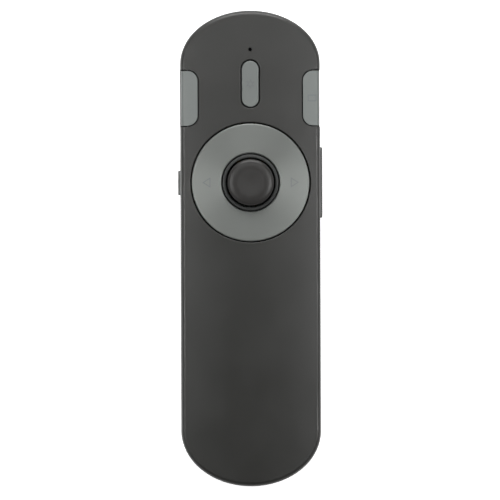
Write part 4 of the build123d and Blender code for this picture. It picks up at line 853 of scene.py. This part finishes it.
# ---------------------------------------------------------------- stage
def background_rays(tree):
    """1 for rays that show the background: from the camera, from gloss and through clear pieces."""
    path = add_node(tree, "ShaderNodeLightPath")
    shown = calculate(tree, "MAXIMUM", path.outputs["Is Camera Ray"], path.outputs["Is Glossy Ray"])
    return calculate(tree, "MAXIMUM", shown, path.outputs["Is Transmission Ray"])


def make_floor(studio):
    """Plain pale floor, whose own glow to the camera lifts it to white and leaves a soft shadow.

    It lies a hair under the belly, and is clear from below, where it would hide the belly.
    """
    corners = FLOOR_REACH * np.array([(-1, -1, 0), (1, -1, 0), (1, 1, 0), (-1, 1, 0)], float)
    corners[:, 2] = -studio.floor_drop
    material, tree, shader = material_with_shader("pale_floor")
    shader.inputs["Base Color"].default_value = (0.8, 0.8, 0.8, 1)
    shader.inputs["Roughness"].default_value = 0.9
    shader.inputs["Specular IOR Level"].default_value = 0.0
    shader.inputs["Emission Color"].default_value = (1, 1, 1, 1)
    tree.links.new(calculate(tree, "MULTIPLY", background_rays(tree), studio.floor_glow),
                   shader.inputs["Emission Strength"])
    from_below = add_node(tree, "ShaderNodeNewGeometry").outputs["Backfacing"]
    clear = add_node(tree, "ShaderNodeBsdfTransparent").outputs[0]
    sided = add_node(tree, "ShaderNodeMixShader", {0: from_below, 1: shader.outputs[0], 2: clear})
    tree.links.new(sided.outputs[0], tree.nodes["Material Output"].inputs["Surface"])
    floor = mesh_piece("floor", corners, [np.array([(0, 1, 2, 3)])], material)


def make_world(scene, studio):
    """Weak light that fades from the horizon upwards, behind a plain backdrop.

    The camera sees the backdrop all round, and gloss and clear pieces see it at the horizon.
    """
    world = bpy.data.worlds.new("studio_world")
    world.use_nodes = True
    tree = world.node_tree
    direction = add_node(tree, "ShaderNodeTexCoord").outputs["Generated"]
    height = add_node(tree, "ShaderNodeSeparateXYZ", {0: direction}).outputs["Z"]
    overhead = spread(tree, height, 0.0, 1.0, *WORLD_FADE, smooth=True)
    camera_ray = add_node(tree, "ShaderNodeLightPath").outputs["Is Camera Ray"]
    low = spread(tree, background_rays(tree), studio.horizon, studio.backdrop)
    high = spread(tree, camera_ray, studio.zenith, studio.backdrop)
    brightness = add_node(tree, "ShaderNodeMix", {0: overhead, 2: low, 3: high}).outputs[0]
    tree.links.new(brightness, tree.nodes["Background"].inputs["Strength"])
    tree.nodes["Background"].inputs["Color"].default_value = (1, 1, 1, 1)
    scene.world = world


def soft_box(name, power, place, target, level_side, steep_side):
    """Rectangular lamp at a place, turned to its target, with one side level."""
    light = bpy.data.lights.new(name, "AREA")
    light.shape = "RECTANGLE"
    light.size, light.size_y = level_side, steep_side
    light.energy = power
    lamp = bpy.data.objects.new(name, light)
    lamp.matrix_world = (Matrix.Translation(place)
                         @ (Vector(target) - Vector(place)).to_track_quat("-Z", "Y").to_matrix().to_4x4())
    lamp.visible_camera = False
    bpy.context.scene.collection.objects.link(lamp)


def make_lamps(studio):
    """Soft boxes along both sides of the clicker, and a steep and a low one beyond its nose."""
    top = cad_box[1][2]
    reach = studio.side_distance * math.sin(studio.side_angle)
    height = top + studio.side_distance * math.cos(studio.side_angle)
    for name, side, power in (("left_lamp", -1, studio.left_lamp), ("right_lamp", 1, studio.right_lamp)):
        soft_box(name, power, (side * reach, studio.side_ahead, height), (0, studio.side_ahead, top),
                 studio.side_length, studio.side_width)
    for name, angle, width, power in (
            ("brow_lamp", studio.brow_angle, studio.brow_width, studio.brow_lamp),
            ("nose_lamp", studio.nose_angle, studio.nose_width, studio.nose_lamp)):
        place = (0, studio.nose_distance * math.sin(angle), top + studio.nose_distance * math.cos(angle))
        soft_box(name, power, place, (0, 0, top), studio.nose_length, width)


def make_camera(scene, studio):
    """Camera nearly straight above, far off behind a long lens, and turned a little about its view."""
    data = bpy.data.cameras.new("camera")
    data.sensor_width = 36
    data.lens = data.sensor_width * studio.camera_distance / studio.view_width
    data.clip_end = 100
    camera = bpy.data.objects.new("camera", data)
    rim_level = cad_box[1][2] - RIM_DROP
    camera.matrix_world = (Matrix.Translation((studio.camera_x, studio.camera_y, rim_level))
                           @ Matrix.Rotation(-studio.camera_lean, 4, "Y")
                           @ Matrix.Translation((0, 0, studio.camera_distance))
                           @ Matrix.Rotation(studio.camera_roll, 4, "Z"))
    scene.collection.objects.link(camera)
    scene.camera = camera


# ---------------------------------------------------------------- panel and registration
STEPS = (CLICKER_OT_housing, CLICKER_OT_keys, CLICKER_OT_navigation_ring, CLICKER_OT_joystick,
         CLICKER_OT_side_controls, CLICKER_OT_laser, CLICKER_OT_electronics, CLICKER_OT_power,
         CLICKER_OT_receiver, CLICKER_OT_stage)


class CLICKER_PT_looks(Panel):
    """Lists the clicker's pieces and their settings"""

    bl_label = "Presentation clicker"
    bl_idname = "CLICKER_PT_looks"
    bl_space_type = "VIEW_3D"
    bl_region_type = "UI"
    bl_category = "Clicker"

    def draw(self, context):
        for step in STEPS:
            self.layout.operator(step.bl_idname)
        for name, group in GROUPS.items():
            box = self.layout.box()
            for key in group.__annotations__:
                box.prop(getattr(context.scene, name), key)


GROUPS = {"clicker_finishes": ClickerFinishes, "clicker_knob": ClickerKnob,
          "clicker_marks": ClickerMarks, "clicker_studio": ClickerStudio}


def register():
    """Registers the property groups, the operators and the panel."""
    for name, group in GROUPS.items():
        bpy.utils.register_class(group)
        setattr(bpy.types.Scene, name, PointerProperty(type=group))
    for step in (*STEPS, CLICKER_PT_looks):
        bpy.utils.register_class(step)


def unregister():
    """Takes them all away again."""
    for step in reversed((*STEPS, CLICKER_PT_looks)):
        bpy.utils.unregister_class(step)
    for name, group in GROUPS.items():
        delattr(bpy.types.Scene, name)
        bpy.utils.unregister_class(group)


def main():
    """Builds the looks step by step."""
    register()
    for step in STEPS:
        group, name = step.bl_idname.split(".")
        getattr(getattr(bpy.ops, group), name)()


if __name__ == "__main__":
    main()
